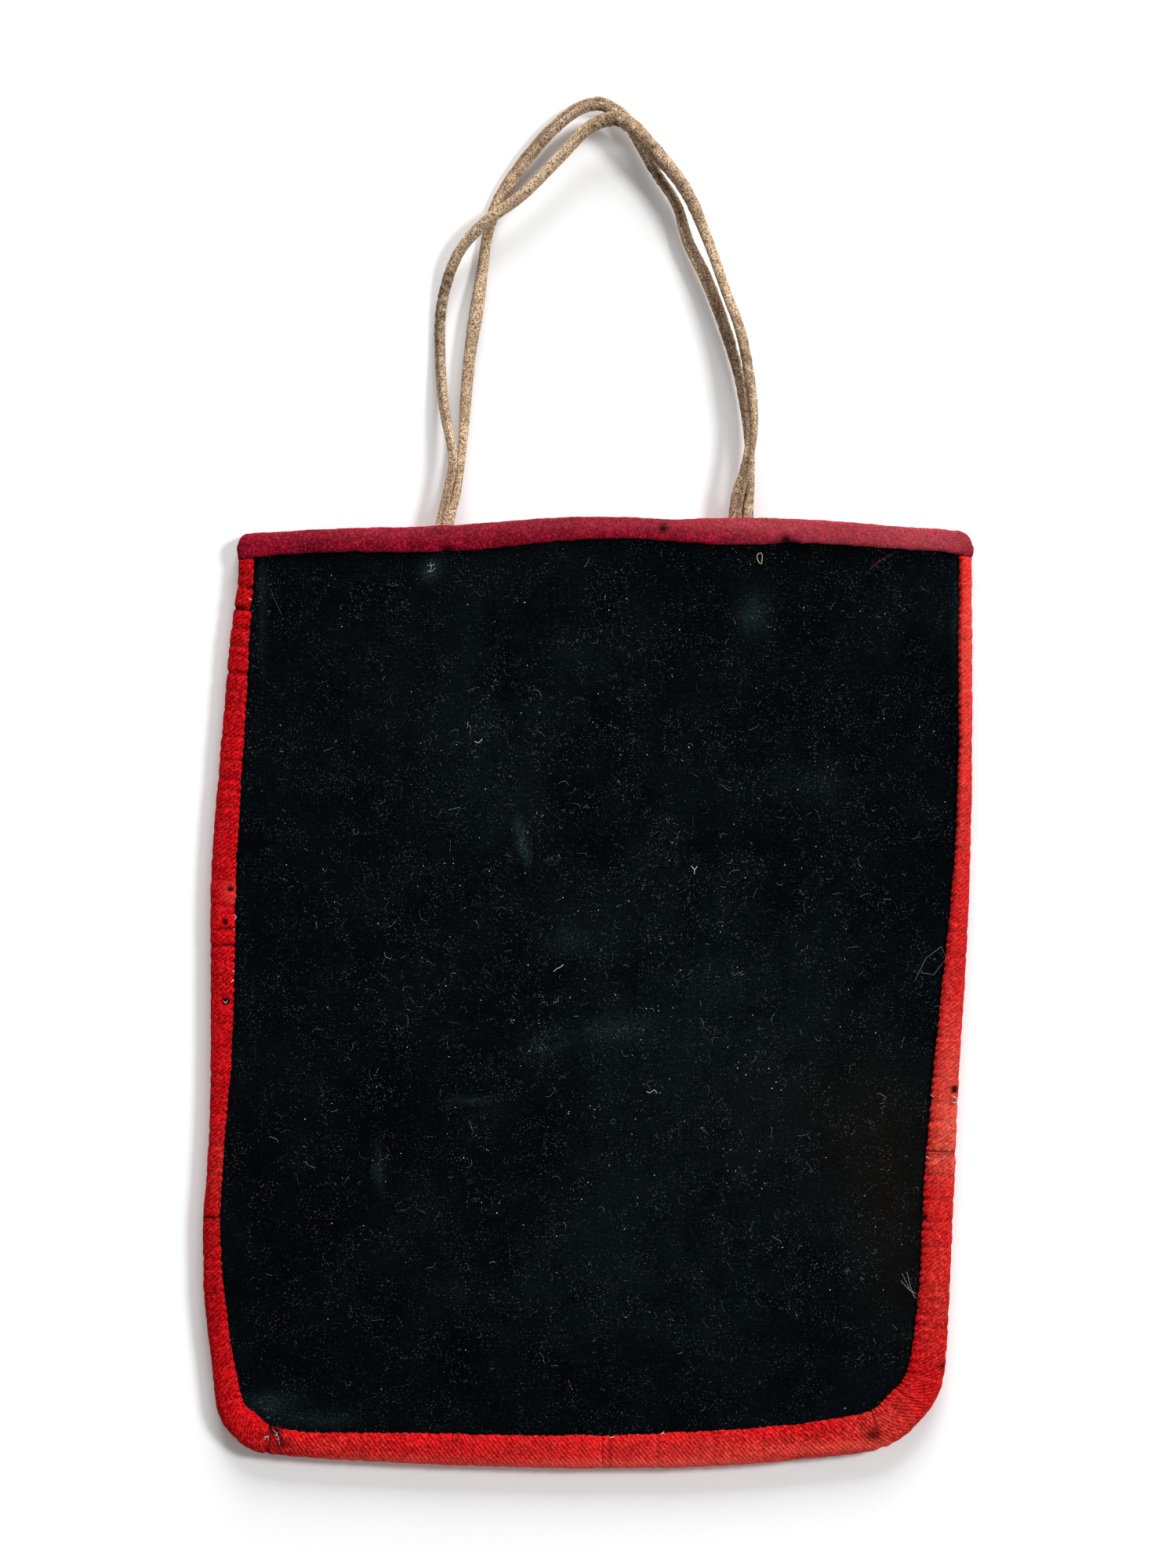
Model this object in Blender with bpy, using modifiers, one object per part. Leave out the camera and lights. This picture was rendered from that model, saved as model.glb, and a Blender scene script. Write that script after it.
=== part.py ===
"""A flat hand bag with a beaded face, lying on its beads with its plain velvet back up.

Metres, +Z up, +Y towards the handles. The origin is under the middle of the bag's body,
on the flat face of the bead field that the bag rests on.
Run it with: blender --background --python part.py
"""

import math
from collections import namedtuple

import bmesh
import bpy
from mathutils import Vector

# Driving sizes of the body
BODY_WIDTH = 0.2455
BODY_HEIGHT = 0.303
LEFT_CORNER = 0.016
RIGHT_CORNER = 0.025
LEFT_CORNER_EXTRA = 0.0030
RIGHT_CORNER_EXTRA = 0.0026
BOTTOM_SAG = 0.0065
MOUTH_DROP = 0.0050

# Walls, from the table up
BEAD_THICKNESS = 0.0020
FRONT_THICKNESS = 0.0012
BACK_THICKNESS = 0.0014
BINDING_THICKNESS = 0.0013
MOUTH_THICKNESS = 0.0010
GAP = 0.0003

# Widths of the bindings and the pocket between the panels
BINDING_WIDTH = 0.0090
FRONT_BAND = 0.0085
BINDING_ROLL = 0.0032
MOUTH_BAND = 0.0085
MOUTH_INNER_LEG = 0.0070
MOUTH_ROUND = 0.0007
MOUTH_FOLD = 0.0005
POCKET_CROWN = 0.0054
CROWN_RUN = 0.036
MOUTH_RUN = 0.075

# Handles, two rolled thongs
HANDLE_THICKNESS = 0.0040
HANDLE_SPAN = 0.0950
HANDLE_RISE = 0.1320
HANDLE_TUCK = 0.0180
HANDLE_POINTS = 62

# Shares of other sizes: how far past a corner's radius the panel goes on rising, how many radii
# of a corner its binding is gathered over, and how blunt the folded edges of the cloth are
CORNER_RUN = 1.2
GATHER_REACH = 1.6
BINDING_NOSE = 1 / 3
MOUTH_NOSE = 0.6
MOUTH_TIP = 0.35

# How finely the soft walls and the handles are cut up, and the turn of the mouth is looked for
CORNER_STEPS = 4
CROWN_STEPS = 3
SIDE_STEPS = 15
BOTTOM_STEPS = 11
ROLL_STEPS = 4
ROUTE_STEPS = 12
TURN_STEPS = 400
TURN_SEARCH = 1.5

# Levels of the flat seams, each piece a gap above the one it lies on
FRONT_UNDER = BEAD_THICKNESS + GAP
FRONT_OVER = FRONT_UNDER + FRONT_THICKNESS
SEAM_UNDER = FRONT_OVER + GAP
SEAM_OVER = SEAM_UNDER + BACK_THICKNESS
BINDING_INSIDE_LOW = FRONT_UNDER - GAP
BINDING_INSIDE_HIGH = SEAM_OVER + GAP
BINDING_LOW = BINDING_INSIDE_LOW - BINDING_THICKNESS
BINDING_HIGH = BINDING_INSIDE_HIGH + BINDING_THICKNESS
PANEL_INSET = BINDING_THICKNESS + GAP

# The mouth stands open by one thong, and the back panel rises to make the room
MOUTH_OPENING = HANDLE_THICKNESS + 2 * GAP
MOUTH_CROWN = MOUTH_OPENING + 2 * MOUTH_THICKNESS + GAP
MOUTH_MIDDLE = FRONT_OVER + GAP + MOUTH_THICKNESS + MOUTH_OPENING / 2
MOUTH_TURN_SHARE = 0.42

# The sides, from the bottom up. height is a share of BODY_HEIGHT, left and right are shares of
# half BODY_WIDTH from the middle, and the bands are shares of BINDING_WIDTH.
SideRow = namedtuple("SideRow", "height left right left_band right_band")
SIDE_ROWS = (
    SideRow(0.00, 0.960, 0.925, 0.86, 1.22),
    SideRow(0.10, 0.974, 0.930, 0.84, 1.20),
    SideRow(0.17, 0.996, 0.940, 0.80, 1.16),
    SideRow(0.26, 1.000, 0.949, 0.66, 1.15),
    SideRow(0.32, 0.988, 0.956, 0.60, 1.12),
    SideRow(0.42, 0.980, 0.966, 0.78, 0.97),
    SideRow(0.52, 0.980, 0.982, 0.90, 0.84),
    SideRow(0.62, 0.980, 0.994, 0.97, 0.68),
    SideRow(0.72, 0.962, 0.999, 0.89, 0.56),
    SideRow(0.82, 0.941, 1.000, 0.83, 0.54),
    SideRow(0.89, 0.926, 1.000, 0.72, 0.57),
    SideRow(0.93, 0.910, 0.999, 0.62, 0.52),
    SideRow(1.00, 0.906, 0.997, 0.60, 0.40),
)

# The bottom, from left to right. across is a share of BODY_WIDTH, rise a share of BOTTOM_SAG
# above the lowest point, and band a share of BINDING_WIDTH.
BottomRow = namedtuple("BottomRow", "across rise band")
BOTTOM_ROWS = (
    BottomRow(0.00, 1.00, 0.92),
    BottomRow(0.13, 0.55, 0.96),
    BottomRow(0.25, 0.28, 1.14),
    BottomRow(0.40, 0.06, 1.22),
    BottomRow(0.54, 0.00, 1.26),
    BottomRow(0.70, 0.18, 1.34),
    BottomRow(0.82, 0.62, 1.32),
    BottomRow(0.92, 1.05, 1.28),
    BottomRow(1.00, 1.45, 1.24),
)

# The mouth's rim, from left to right. drop is a share of MOUTH_DROP below the highest point,
# and band a share of MOUTH_BAND, how far the binding reaches down the velvet.
MouthRow = namedtuple("MouthRow", "across drop band")
MOUTH_ROWS = (
    MouthRow(0.04, 1.05, 1.02),
    MouthRow(0.08, 0.94, 0.92),
    MouthRow(0.14, 0.80, 0.90),
    MouthRow(0.24, 0.70, 0.96),
    MouthRow(0.34, 0.54, 1.00),
    MouthRow(0.44, 0.10, 0.94),
    MouthRow(0.54, 0.00, 0.83),
    MouthRow(0.60, 0.20, 0.82),
    MouthRow(0.69, 0.06, 1.06),
    MouthRow(0.80, 0.22, 0.90),
    MouthRow(0.90, 0.60, 0.88),
    MouthRow(0.96, 0.72, 0.86),
    MouthRow(1.00, 0.90, 1.00),
)

# The handles, from the left rim over the top to the right rim. across is a share of HANDLE_SPAN
# from the middle, rise a share of HANDLE_RISE above the rim, thick a share of HANDLE_THICKNESS,
# and lift goes from 0, lying on the table, to 1, level with the middle of the mouth.
HandleRow = namedtuple("HandleRow", "across rise lift thick")
INNER_HANDLE_ROWS = (
    HandleRow(-0.495, 0.000, 1.00, 0.84),
    HandleRow(-0.462, 0.105, 1.00, 0.84),
    HandleRow(-0.451, 0.170, 0.98, 0.82),
    HandleRow(-0.481, 0.293, 0.45, 0.80),
    HandleRow(-0.495, 0.422, 0.06, 0.80),
    HandleRow(-0.489, 0.543, 0.06, 0.82),
    HandleRow(-0.437, 0.657, 0.50, 0.90),
    HandleRow(-0.338, 0.731, 0.97, 0.96),
    HandleRow(-0.218, 0.785, 1.02, 0.92),
    HandleRow(-0.084, 0.876, 1.15, 0.96),
    HandleRow(0.003, 0.937, 1.30, 1.00),
    HandleRow(0.113, 0.957, 1.42, 1.12),
    HandleRow(0.229, 0.885, 1.42, 1.16),
    HandleRow(0.332, 0.789, 1.34, 1.00),
    HandleRow(0.401, 0.672, 1.26, 0.84),
    HandleRow(0.460, 0.548, 1.30, 0.82),
    HandleRow(0.511, 0.444, 1.42, 0.86),
    HandleRow(0.541, 0.328, 1.48, 0.86),
    HandleRow(0.550, 0.226, 1.46, 0.90),
    HandleRow(0.529, 0.126, 1.40, 0.88),
    HandleRow(0.503, 0.067, 1.22, 0.98),
    HandleRow(0.488, 0.000, 1.00, 1.00),
)
OUTER_HANDLE_ROWS = (
    HandleRow(-0.444, 0.000, 1.00, 0.80),
    HandleRow(-0.428, 0.105, 0.62, 0.80),
    HandleRow(-0.419, 0.200, 0.36, 0.80),
    HandleRow(-0.400, 0.394, 0.30, 0.94),
    HandleRow(-0.374, 0.518, 0.20, 1.08),
    HandleRow(-0.353, 0.620, 0.06, 0.84),
    HandleRow(-0.337, 0.700, 0.02, 0.74),
    HandleRow(-0.303, 0.774, 0.02, 0.90),
    HandleRow(-0.250, 0.833, 0.08, 1.00),
    HandleRow(-0.155, 0.914, 0.26, 1.00),
    HandleRow(-0.050, 0.979, 0.42, 1.00),
    HandleRow(0.037, 0.999, 0.44, 0.98),
    HandleRow(0.116, 0.972, 0.38, 0.90),
    HandleRow(0.166, 0.918, 0.34, 0.80),
    HandleRow(0.229, 0.840, 0.34, 0.78),
    HandleRow(0.297, 0.766, 0.36, 0.78),
    HandleRow(0.337, 0.672, 0.40, 0.86),
    HandleRow(0.400, 0.576, 0.44, 0.96),
    HandleRow(0.460, 0.459, 0.44, 0.88),
    HandleRow(0.505, 0.350, 0.44, 0.80),
    HandleRow(0.532, 0.246, 0.46, 0.78),
    HandleRow(0.552, 0.144, 0.60, 0.80),
    HandleRow(0.556, 0.067, 0.82, 0.90),
    HandleRow(0.548, 0.000, 1.00, 0.98),
)

# A thong's end inside the bag. down is a share of HANDLE_TUCK below the rim, and level goes from
# 0, the middle of the mouth, to 1, against the velvet that it is sewn to.
TuckRow = namedtuple("TuckRow", "down level")
TUCK_ROWS = (TuckRow(0.22, 0.0), TuckRow(0.50, 0.0), TuckRow(0.78, 0.85), TuckRow(1.0, 1.0))

# Where one strip of the side binding ends and the next begins: the length of the short strip
# under the mouth's left end, then shares of a side's length from the bottom up, and of the
# bottom's from left to right. The strips run from the mouth's left end round to its right end.
STRIP_NAMES = (
    "left_top_binding",
    "left_binding",
    "bottom_left_binding",
    "bottom_right_binding",
    "right_binding",
)
LEFT_TOP_STRIP = 0.0147
LEFT_LOWER_SEAM = 0.255
BOTTOM_SEAM = 0.529
RIGHT_SEAM = 0.318

# Moth holes in the binding that show its dark lining, on the side strips
MothHole = namedtuple("MothHole", "strip side height inwards diameter")
MOTH_HOLES = (
    MothHole("right_binding", "right", 0.398, 0.30, 0.0026),
    MothHole("left_binding", "left", 0.494, 0.66, 0.0015),
    MothHole("left_binding", "left", 0.576, 0.62, 0.0012),
    MothHole("left_binding", "left", 0.609, 0.66, 0.0011),
)
HOLE_SIDES = 10


def clear_scene():
    for old in list(bpy.data.objects):
        bpy.data.objects.remove(old, do_unlink=True)


def collection(name, shown=True):
    made = bpy.data.collections.new(name)
    bpy.context.scene.collection.children.link(made)
    made.hide_render = not shown
    return made


def material(name, colour, roughness, metallic=0.0):
    made = bpy.data.materials.new(name)
    made.use_nodes = True
    shader = made.node_tree.nodes["Principled BSDF"]
    shader.inputs["Base Color"].default_value = (*colour, 1.0)
    shader.inputs["Roughness"].default_value = roughness
    shader.inputs["Metallic"].default_value = metallic
    return made


def mix(a, b, share):
    return a + (b - a) * share


def ease(share):
    """0 to 1 with a level start and end."""
    share = min(1.0, max(0.0, share))
    return share * share * (3 - 2 * share)


def between(rows, place, column):
    """A table's column at a place between its rows, on a curve that has no corners.

    The first column of a row is its place, and places run upwards.
    """
    place = min(rows[-1][0], max(rows[0][0], place))
    last = len(rows) - 1
    i = next(k for k in range(last) if place <= rows[k + 1][0])

    def slope(k):
        low, high = rows[max(0, k - 1)], rows[min(last, k + 1)]
        return (getattr(high, column) - getattr(low, column)) / (high[0] - low[0])

    step = rows[i + 1][0] - rows[i][0]
    t = (place - rows[i][0]) / step
    start, end = getattr(rows[i], column), getattr(rows[i + 1], column)
    return (
        start * (2 * t**3 - 3 * t**2 + 1)
        + end * (3 * t**2 - 2 * t**3)
        + slope(i) * step * (t**3 - 2 * t**2 + t)
        + slope(i + 1) * step * (t**3 - t**2)
    )


def share_across(x):
    return x / BODY_WIDTH + 0.5


def share_up(y):
    return y / BODY_HEIGHT + 0.5


def rim(x):
    """The height of the mouth's rim along +Y, over a point x across."""
    drop = between(MOUTH_ROWS, share_across(x), "drop")
    return BODY_HEIGHT / 2 - MOUTH_DROP * drop


def bottom_edge(x):
    rise = between(BOTTOM_ROWS, share_across(x), "rise")
    return BOTTOM_SAG * rise - BODY_HEIGHT / 2


def side_edge(y, side):
    """The outer edge of the bag on one side, at a height y."""
    half = between(SIDE_ROWS, share_up(y), side) * BODY_WIDTH / 2
    return -half if side == "left" else half


def side_band(y, side):
    return BINDING_WIDTH * between(SIDE_ROWS, share_up(y), side + "_band")


def bottom_band(x):
    return BINDING_WIDTH * between(BOTTOM_ROWS, share_across(x), "band")


def outline_point(across, up, band=0.0, inset=0.0, top=0.0):
    """A point of the flat bag, from across 0, left, to 1, right, and up 0, bottom, to 1, the rim.

    band 0 spans it between the binding's outer edges and band 1 between its inner ones, inset
    takes the edges further in, and top takes the upper edge down from the rim.
    The square corners at the bottom are drawn in to arcs.
    """
    y = mix(-BODY_HEIGHT / 2, BODY_HEIGHT / 2, up)
    for _ in range(3):
        left = side_edge(y, "left") + band * side_band(y, "left") + inset
        right = side_edge(y, "right") - band * side_band(y, "right") - inset
        x = mix(left, right, across)
        low = bottom_edge(x) + band * bottom_band(x) + inset
        y = mix(low, rim(x) - top, up)
    for wall, inwards, radius in (
        (left, 1, LEFT_CORNER),
        (right, -1, RIGHT_CORNER),
    ):
        radius = max(radius - inset, FRONT_BAND / 2)
        in_x, in_y = (x - wall) * inwards, y - low
        if in_x < radius and in_y < radius:
            a, b = in_x / radius - 1, in_y / radius - 1
            shrink = max(abs(a), abs(b)) / max(math.hypot(a, b), 1e-9)
            x = wall + inwards * radius * (1 + a * shrink)
            y = low + radius * (1 + b * shrink)
    return Vector((x, y))


def end_places(radius, length):
    """Shares of a side that step round a corner at its start and then up the panel's rise."""
    corner, risen = radius / length, max(radius * CORNER_RUN, CROWN_RUN) / length
    made = [corner * k / CORNER_STEPS for k in range(CORNER_STEPS)]
    return made + [mix(corner, risen, k / CROWN_STEPS) for k in range(CROWN_STEPS + 1)]


def places_up():
    """Shares of the height, close together at the bottom."""
    low = end_places(RIGHT_CORNER, BODY_HEIGHT)
    return low + [mix(low[-1], 1, k / SIDE_STEPS) for k in range(1, SIDE_STEPS + 1)]


def places_across():
    """Shares of the width, close together at both ends."""
    low = end_places(LEFT_CORNER, BODY_WIDTH)
    high = [1 - p for p in reversed(end_places(RIGHT_CORNER, BODY_WIDTH))]
    inner = [mix(low[-1], high[0], k / BOTTOM_STEPS) for k in range(1, BOTTOM_STEPS)]
    return low + inner + high


def crown(across, up):
    """How far the back panel stands above its flat seams, between their inner edges."""
    to_side = min(across, 1 - across) * BODY_WIDTH
    to_bottom = up * BODY_HEIGHT
    to_mouth = (1 - up) * BODY_HEIGHT
    height = mix(MOUTH_CROWN, POCKET_CROWN, ease(to_mouth / MOUTH_RUN))
    return height * ease(to_side / CROWN_RUN) * ease(to_bottom / CROWN_RUN)


def mouth_crown(x):
    """The back panel's rise at the mouth, over a point x across."""
    y = rim(x)
    left = side_edge(y, "left") + side_band(y, "left")
    right = side_edge(y, "right") - side_band(y, "right")
    return crown(min(1.0, max(0.0, (x - left) / (right - left))), 1.0)


def new_object(name, data, group, finish):
    made = bpy.data.objects.new(name, data)
    data.materials.append(finish)
    group.objects.link(made)
    return made


def loft(name, rings, group, finish, closed=False):
    """A skin over rings of points that differ from one to the next, capped unless it closes on itself."""
    shape = bmesh.new()
    made = [[shape.verts.new(p) for p in ring] for ring in rings]
    count = len(made[0])
    pairs = list(zip(made, made[1:]))
    if closed:
        pairs.append((made[-1], made[0]))
    for one, other in pairs:
        for k in range(count):
            n = (k + 1) % count
            shape.faces.new((one[k], one[n], other[n], other[k]))
    if not closed:
        shape.faces.new(reversed(made[0]))
        shape.faces.new(made[-1])
    bmesh.ops.recalc_face_normals(shape, faces=shape.faces)
    mesh = bpy.data.meshes.new(name)
    shape.to_mesh(mesh)
    shape.free()
    mesh.shade_smooth()
    mesh.set_sharp_from_angle(angle=math.radians(40))
    return new_object(name, mesh, group, finish)


def edge_marks(*seams):
    """Places round the bound edge, across and up, from the mouth's left end to its right."""
    left = sorted({*places_up(), *(up for across, up in seams if across == 0 and up > 0)})
    right = sorted({*places_up(), *(up for across, up in seams if across == 1 and up > 0)})
    bottom = sorted({*places_across()[1:-1], *(across for across, up in seams if up == 0)})
    marks = [(0, up) for up in reversed(left)]
    return marks + [(across, 0) for across in bottom] + [(1, up) for up in right]


def edge_frames(marks):
    """For each mark its point on the edge, the way along the edge and the way into the bag."""
    places = [outline_point(across, up) for across, up in marks]
    frames = {}
    for k, mark in enumerate(marks):
        along = places[min(k + 1, len(places) - 1)] - places[max(k - 1, 0)]
        along.normalize()
        frames[mark] = (places[k], along, Vector((-along.y, along.x)))
    return frames


def hem_point(frames, mark, inset, top):
    """A point of a sheet's hem, taken in by inset from the bound edge and down from the rim by top."""
    place, _, inwards = frames[mark]
    point = place + inwards * inset
    point.y = min(point.y, rim(point.x) - top)
    return point


def back_panel(group, finish):
    """The velvet: flat under its bindings, rising in between to leave the pocket open below it."""
    acrosses, ups = places_across(), places_up()
    columns, rows = len(acrosses) - 1, len(ups) - 1
    middle = SEAM_UNDER + BACK_THICKNESS / 2
    top = MOUTH_THICKNESS + GAP
    shape = bmesh.new()
    bmesh.ops.create_grid(shape, x_segments=columns, y_segments=rows, size=0.5)
    place = {}
    for vert in shape.verts:
        column = round((vert.co.x + 0.5) * columns)
        row = round((vert.co.y + 0.5) * rows)
        place[vert] = (acrosses[column], ups[row])
    for vert, (across, up) in place.items():
        flat = outline_point(across, up, 1.0, 0.0, top)
        vert.co = (*flat, middle + crown(across, up))
    bound = [
        edge
        for edge in shape.edges
        if edge.is_boundary and not all(place[v][1] == 1 for v in edge.verts)
    ]
    hem = bmesh.ops.extrude_edge_only(shape, edges=bound)["geom"]
    frames = edge_frames(edge_marks())
    for vert in (item for item in hem if isinstance(item, bmesh.types.BMVert)):
        inner = next(v for edge in vert.link_edges for v in edge.verts if v in place)
        vert.co = (*hem_point(frames, place[inner], PANEL_INSET, top), middle)
    bmesh.ops.recalc_face_normals(shape, faces=shape.faces)
    mesh = bpy.data.meshes.new("back_panel")
    shape.to_mesh(mesh)
    shape.free()
    mesh.shade_smooth()
    made = new_object("back_panel", mesh, group, finish)
    wall = made.modifiers.new("wall", "SOLIDIFY")
    wall.thickness = BACK_THICKNESS
    wall.offset = 0
    wall.use_even_offset = True
    return made


def flat_sheet(name, low, thickness, inset, top, group, finish):
    """A flat sheet cut to the bag's outline, taken in by inset and down from the rim by top."""
    marks = edge_marks()
    frames = edge_frames(marks)
    path = [hem_point(frames, mark, inset, top) for mark in marks]
    for across in reversed(places_across()[1:-1]):
        x = mix(path[0].x, path[len(marks) - 1].x, across)
        path.append(Vector((x, rim(x) - top)))
    curve = bpy.data.curves.new(name, "CURVE")
    curve.dimensions = "2D"
    curve.fill_mode = "BOTH"
    curve.extrude = thickness / 2
    line = curve.splines.new("POLY")
    line.points.add(len(path) - 1)
    for point, place in zip(line.points, path):
        point.co = (*place, 0, 1)
    line.use_cyclic_u = True
    made = new_object(name, curve, group, finish)
    made.location.z = low + thickness / 2
    return made


def strip_top(side, lower=0.0):
    """The share of a side's length where its binding stops, under the end of the mouth's, or a
    share that is a length lower."""
    x = side_edge(BODY_HEIGHT / 2, side)
    band = MOUTH_BAND * between(MOUTH_ROWS, share_across(x), "band")
    return 1 - (band + GAP + lower) / (rim(x) - bottom_edge(x))


def edge_width(place, across, up):
    """The binding's width at a mark, with the fullness that it gathers round a corner."""
    if up > 0:
        side = "left" if across == 0 else "right"
        width = side_band(place.y, side)
    else:
        width = bottom_band(place.x)
    extra = 0.0
    for corner, radius, fullness in (
        (outline_point(0, 0), LEFT_CORNER, LEFT_CORNER_EXTRA),
        (outline_point(1, 0), RIGHT_CORNER, RIGHT_CORNER_EXTRA),
    ):
        extra += fullness * (1 - ease((place - corner).length / (GATHER_REACH * radius)))
    return width + extra


def binding_section(place, inwards, width):
    """A U of cloth round the panels' edges, open inwards, as points in the row frame."""
    middle = (BINDING_LOW + BINDING_HIGH) / 2
    half = (BINDING_HIGH - BINDING_LOW) / 2
    nose = BINDING_THICKNESS * BINDING_NOSE
    flat = [(width - nose, BINDING_HIGH)]
    for k in range(ROLL_STEPS + 2):
        turn = math.pi * k / (ROLL_STEPS + 1)
        flat.append((BINDING_ROLL * (1 - math.sin(turn)), middle + half * math.cos(turn)))
    flat += [
        (FRONT_BAND - nose, BINDING_LOW),
        (FRONT_BAND, BINDING_LOW + nose),
        (FRONT_BAND, BINDING_INSIDE_LOW),
        (BINDING_THICKNESS, BINDING_INSIDE_LOW),
        (BINDING_THICKNESS, BINDING_INSIDE_HIGH),
        (width, BINDING_INSIDE_HIGH),
        (width, BINDING_HIGH - nose),
    ]
    return [Vector((*(place + inwards * d), z)) for d, z in flat]


def side_bindings(group, finish):
    """The strips of wool that bind the sides and the bottom, butted end to end."""
    first, last = (0, strip_top("left")), (1, strip_top("right"))
    left_upper = strip_top("left", LEFT_TOP_STRIP)
    seams = ((0, left_upper), (0, LEFT_LOWER_SEAM), (BOTTOM_SEAM, 0), (1, RIGHT_SEAM))
    marks = edge_marks(first, *seams, last)
    marks = marks[marks.index(first) : marks.index(last) + 1]
    frames = edge_frames(marks)
    cuts = [marks.index(mark) for mark in (first, *seams, last)]
    made = {}
    for name, start, end in zip(STRIP_NAMES, cuts, cuts[1:]):
        rings = []
        for k in range(start, end + 1):
            place, along, inwards = frames[marks[k]]
            shift = GAP / 2 if k == start and k > 0 else 0.0
            shift -= GAP / 2 if k == end and k < len(marks) - 1 else 0.0
            width = edge_width(place, *marks[k])
            rings.append(binding_section(place + along * shift, inwards, width))
        made[name] = loft(name, rings, group, finish)
    return made


def cut_moth_holes(strips, cutters):
    """Small holes through the upper leg of the binding."""
    for number, hole in enumerate(MOTH_HOLES):
        y = mix(-BODY_HEIGHT / 2, BODY_HEIGHT / 2, hole.height)
        inwards = side_band(y, hole.side) * hole.inwards
        x = side_edge(y, hole.side) + (inwards if hole.side == "left" else -inwards)
        shape = bmesh.new()
        bmesh.ops.create_cone(
            shape,
            cap_ends=True,
            segments=HOLE_SIDES,
            radius1=hole.diameter / 2,
            radius2=hole.diameter / 2,
            depth=2 * BINDING_THICKNESS,
        )
        mesh = bpy.data.meshes.new("moth_hole")
        shape.to_mesh(mesh)
        shape.free()
        cutter = bpy.data.objects.new(f"moth_hole_{number}", mesh)
        cutter.location = (x, y, BINDING_HIGH - BINDING_THICKNESS / 2)
        cutter.hide_render = True
        cutter.display_type = "WIRE"
        cutters.objects.link(cutter)
        cut = strips[hole.strip].modifiers.new(f"hole_{number}", "BOOLEAN")
        cut.operation = "DIFFERENCE"
        cut.solver = "EXACT"
        cut.object = cutter


def panel_columns():
    """Where the back panel's columns meet the mouth, so that the binding bends with them."""
    top = BODY_HEIGHT / 2
    left = side_edge(top, "left") + side_band(top, "left")
    right = side_edge(top, "right") - side_band(top, "right")
    return [mix(left, right, across) for across in places_across()]


def mouth_turn_distance(side):
    """How far in from the bag's edge the mouth's inner leg turns back, where the panels part enough."""
    edge = side_edge(BODY_HEIGHT / 2, side)
    inwards = 1 if side == "left" else -1
    for k in range(TURN_STEPS):
        distance = CROWN_RUN * TURN_SEARCH * k / TURN_STEPS
        if mouth_crown(edge + inwards * distance) >= MOUTH_TURN_SHARE * MOUTH_CROWN:
            return distance
    return CROWN_RUN


def mouth_end(x_out, x_in, side):
    """The turn from the back leg to the front one at one end: outside round the panels' edges,
    and inside a half circle between the panels."""
    high, low = BINDING_INSIDE_HIGH, BINDING_INSIDE_LOW
    edge = x_out + side * MOUTH_FOLD
    slant = math.sqrt(0.5)
    outside = (
        (x_out + side * MOUTH_FOLD * slant, high - MOUTH_FOLD * (1 - slant), side * slant, slant),
        (edge, high - MOUTH_FOLD, side, 0.0),
        (edge, low + MOUTH_FOLD, side, 0.0),
        (x_out + side * MOUTH_FOLD * slant, low + MOUTH_FOLD * (1 - slant), side * slant, -slant),
    )
    inner_low = FRONT_OVER + GAP
    radius = (SEAM_UNDER - GAP + mouth_crown(x_in) - inner_low) / 2
    made = []
    for k, (x, z, normal_x, normal_z) in enumerate(outside, start=1):
        angle = math.pi * k / (len(outside) + 1)
        normal = Vector((side * math.sin(angle), math.cos(angle)))
        into = Vector((x_in, inner_low + radius)) + normal * radius
        made.append((Vector((x, z)), Vector((normal_x, normal_z)), into, normal))
    return made


def mouth_stations():
    """Points round the mouth on the panels' outer and inner faces, in x and z, each with the
    direction that points out of the bag there."""
    outer_left = side_edge(BODY_HEIGHT / 2, "left") + MOUTH_THICKNESS + MOUTH_FOLD
    outer_right = side_edge(BODY_HEIGHT / 2, "right") - MOUTH_THICKNESS - MOUTH_FOLD
    inner_left = side_edge(BODY_HEIGHT / 2, "left") + mouth_turn_distance("left")
    inner_right = side_edge(BODY_HEIGHT / 2, "right") - mouth_turn_distance("right")
    columns = [outer_left, *panel_columns(), outer_right]
    up, down = Vector((0.0, 1.0)), Vector((0.0, -1.0))
    back, front = [], []
    for x_out in columns:
        x_in = mix(inner_left, inner_right, (x_out - outer_left) / (outer_right - outer_left))
        out = Vector((x_out, BINDING_INSIDE_HIGH + mouth_crown(x_out)))
        into = Vector((x_in, SEAM_UNDER - GAP + mouth_crown(x_in)))
        back.append((out, up, into, up))
        out, into = Vector((x_out, BINDING_INSIDE_LOW)), Vector((x_in, FRONT_OVER + GAP))
        front.append((out, down, into, down))
    right = mouth_end(outer_right, inner_right, 1)
    left = mouth_end(outer_left, inner_left, -1)
    return back + right + front[::-1] + left[::-1]


def mouth_binding(group, finish):
    """One strip folded over the rim all the way round the mouth."""
    cloth = MOUTH_THICKNESS
    rings = []
    for out, out_normal, into, into_normal in mouth_stations():
        band = MOUTH_BAND * between(MOUTH_ROWS, share_across(out.x), "band")
        high = ease((out.y - BINDING_INSIDE_LOW) / (BINDING_INSIDE_HIGH - BINDING_INSIDE_LOW))
        reach = mix(MOUTH_BAND, band, high)
        out_away, in_away = out_normal * cloth, into_normal * cloth
        section = (
            (out + out_away * MOUTH_NOSE, reach),
            (out + out_away, reach - cloth / 2),
            (out + out_away, MOUTH_ROUND),
            (out + out_away * MOUTH_TIP, 0.0),
            (into - in_away * MOUTH_TIP, 0.0),
            (into - in_away, MOUTH_ROUND),
            (into - in_away, MOUTH_INNER_LEG),
            (into, MOUTH_INNER_LEG),
            (into, cloth),
            (out, cloth),
            (out, reach),
        )
        rings.append([Vector((p.x, rim(p.x) - down, p.y)) for p, down in section])
    return loft("mouth_binding", rings, group, finish, closed=True)


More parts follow.
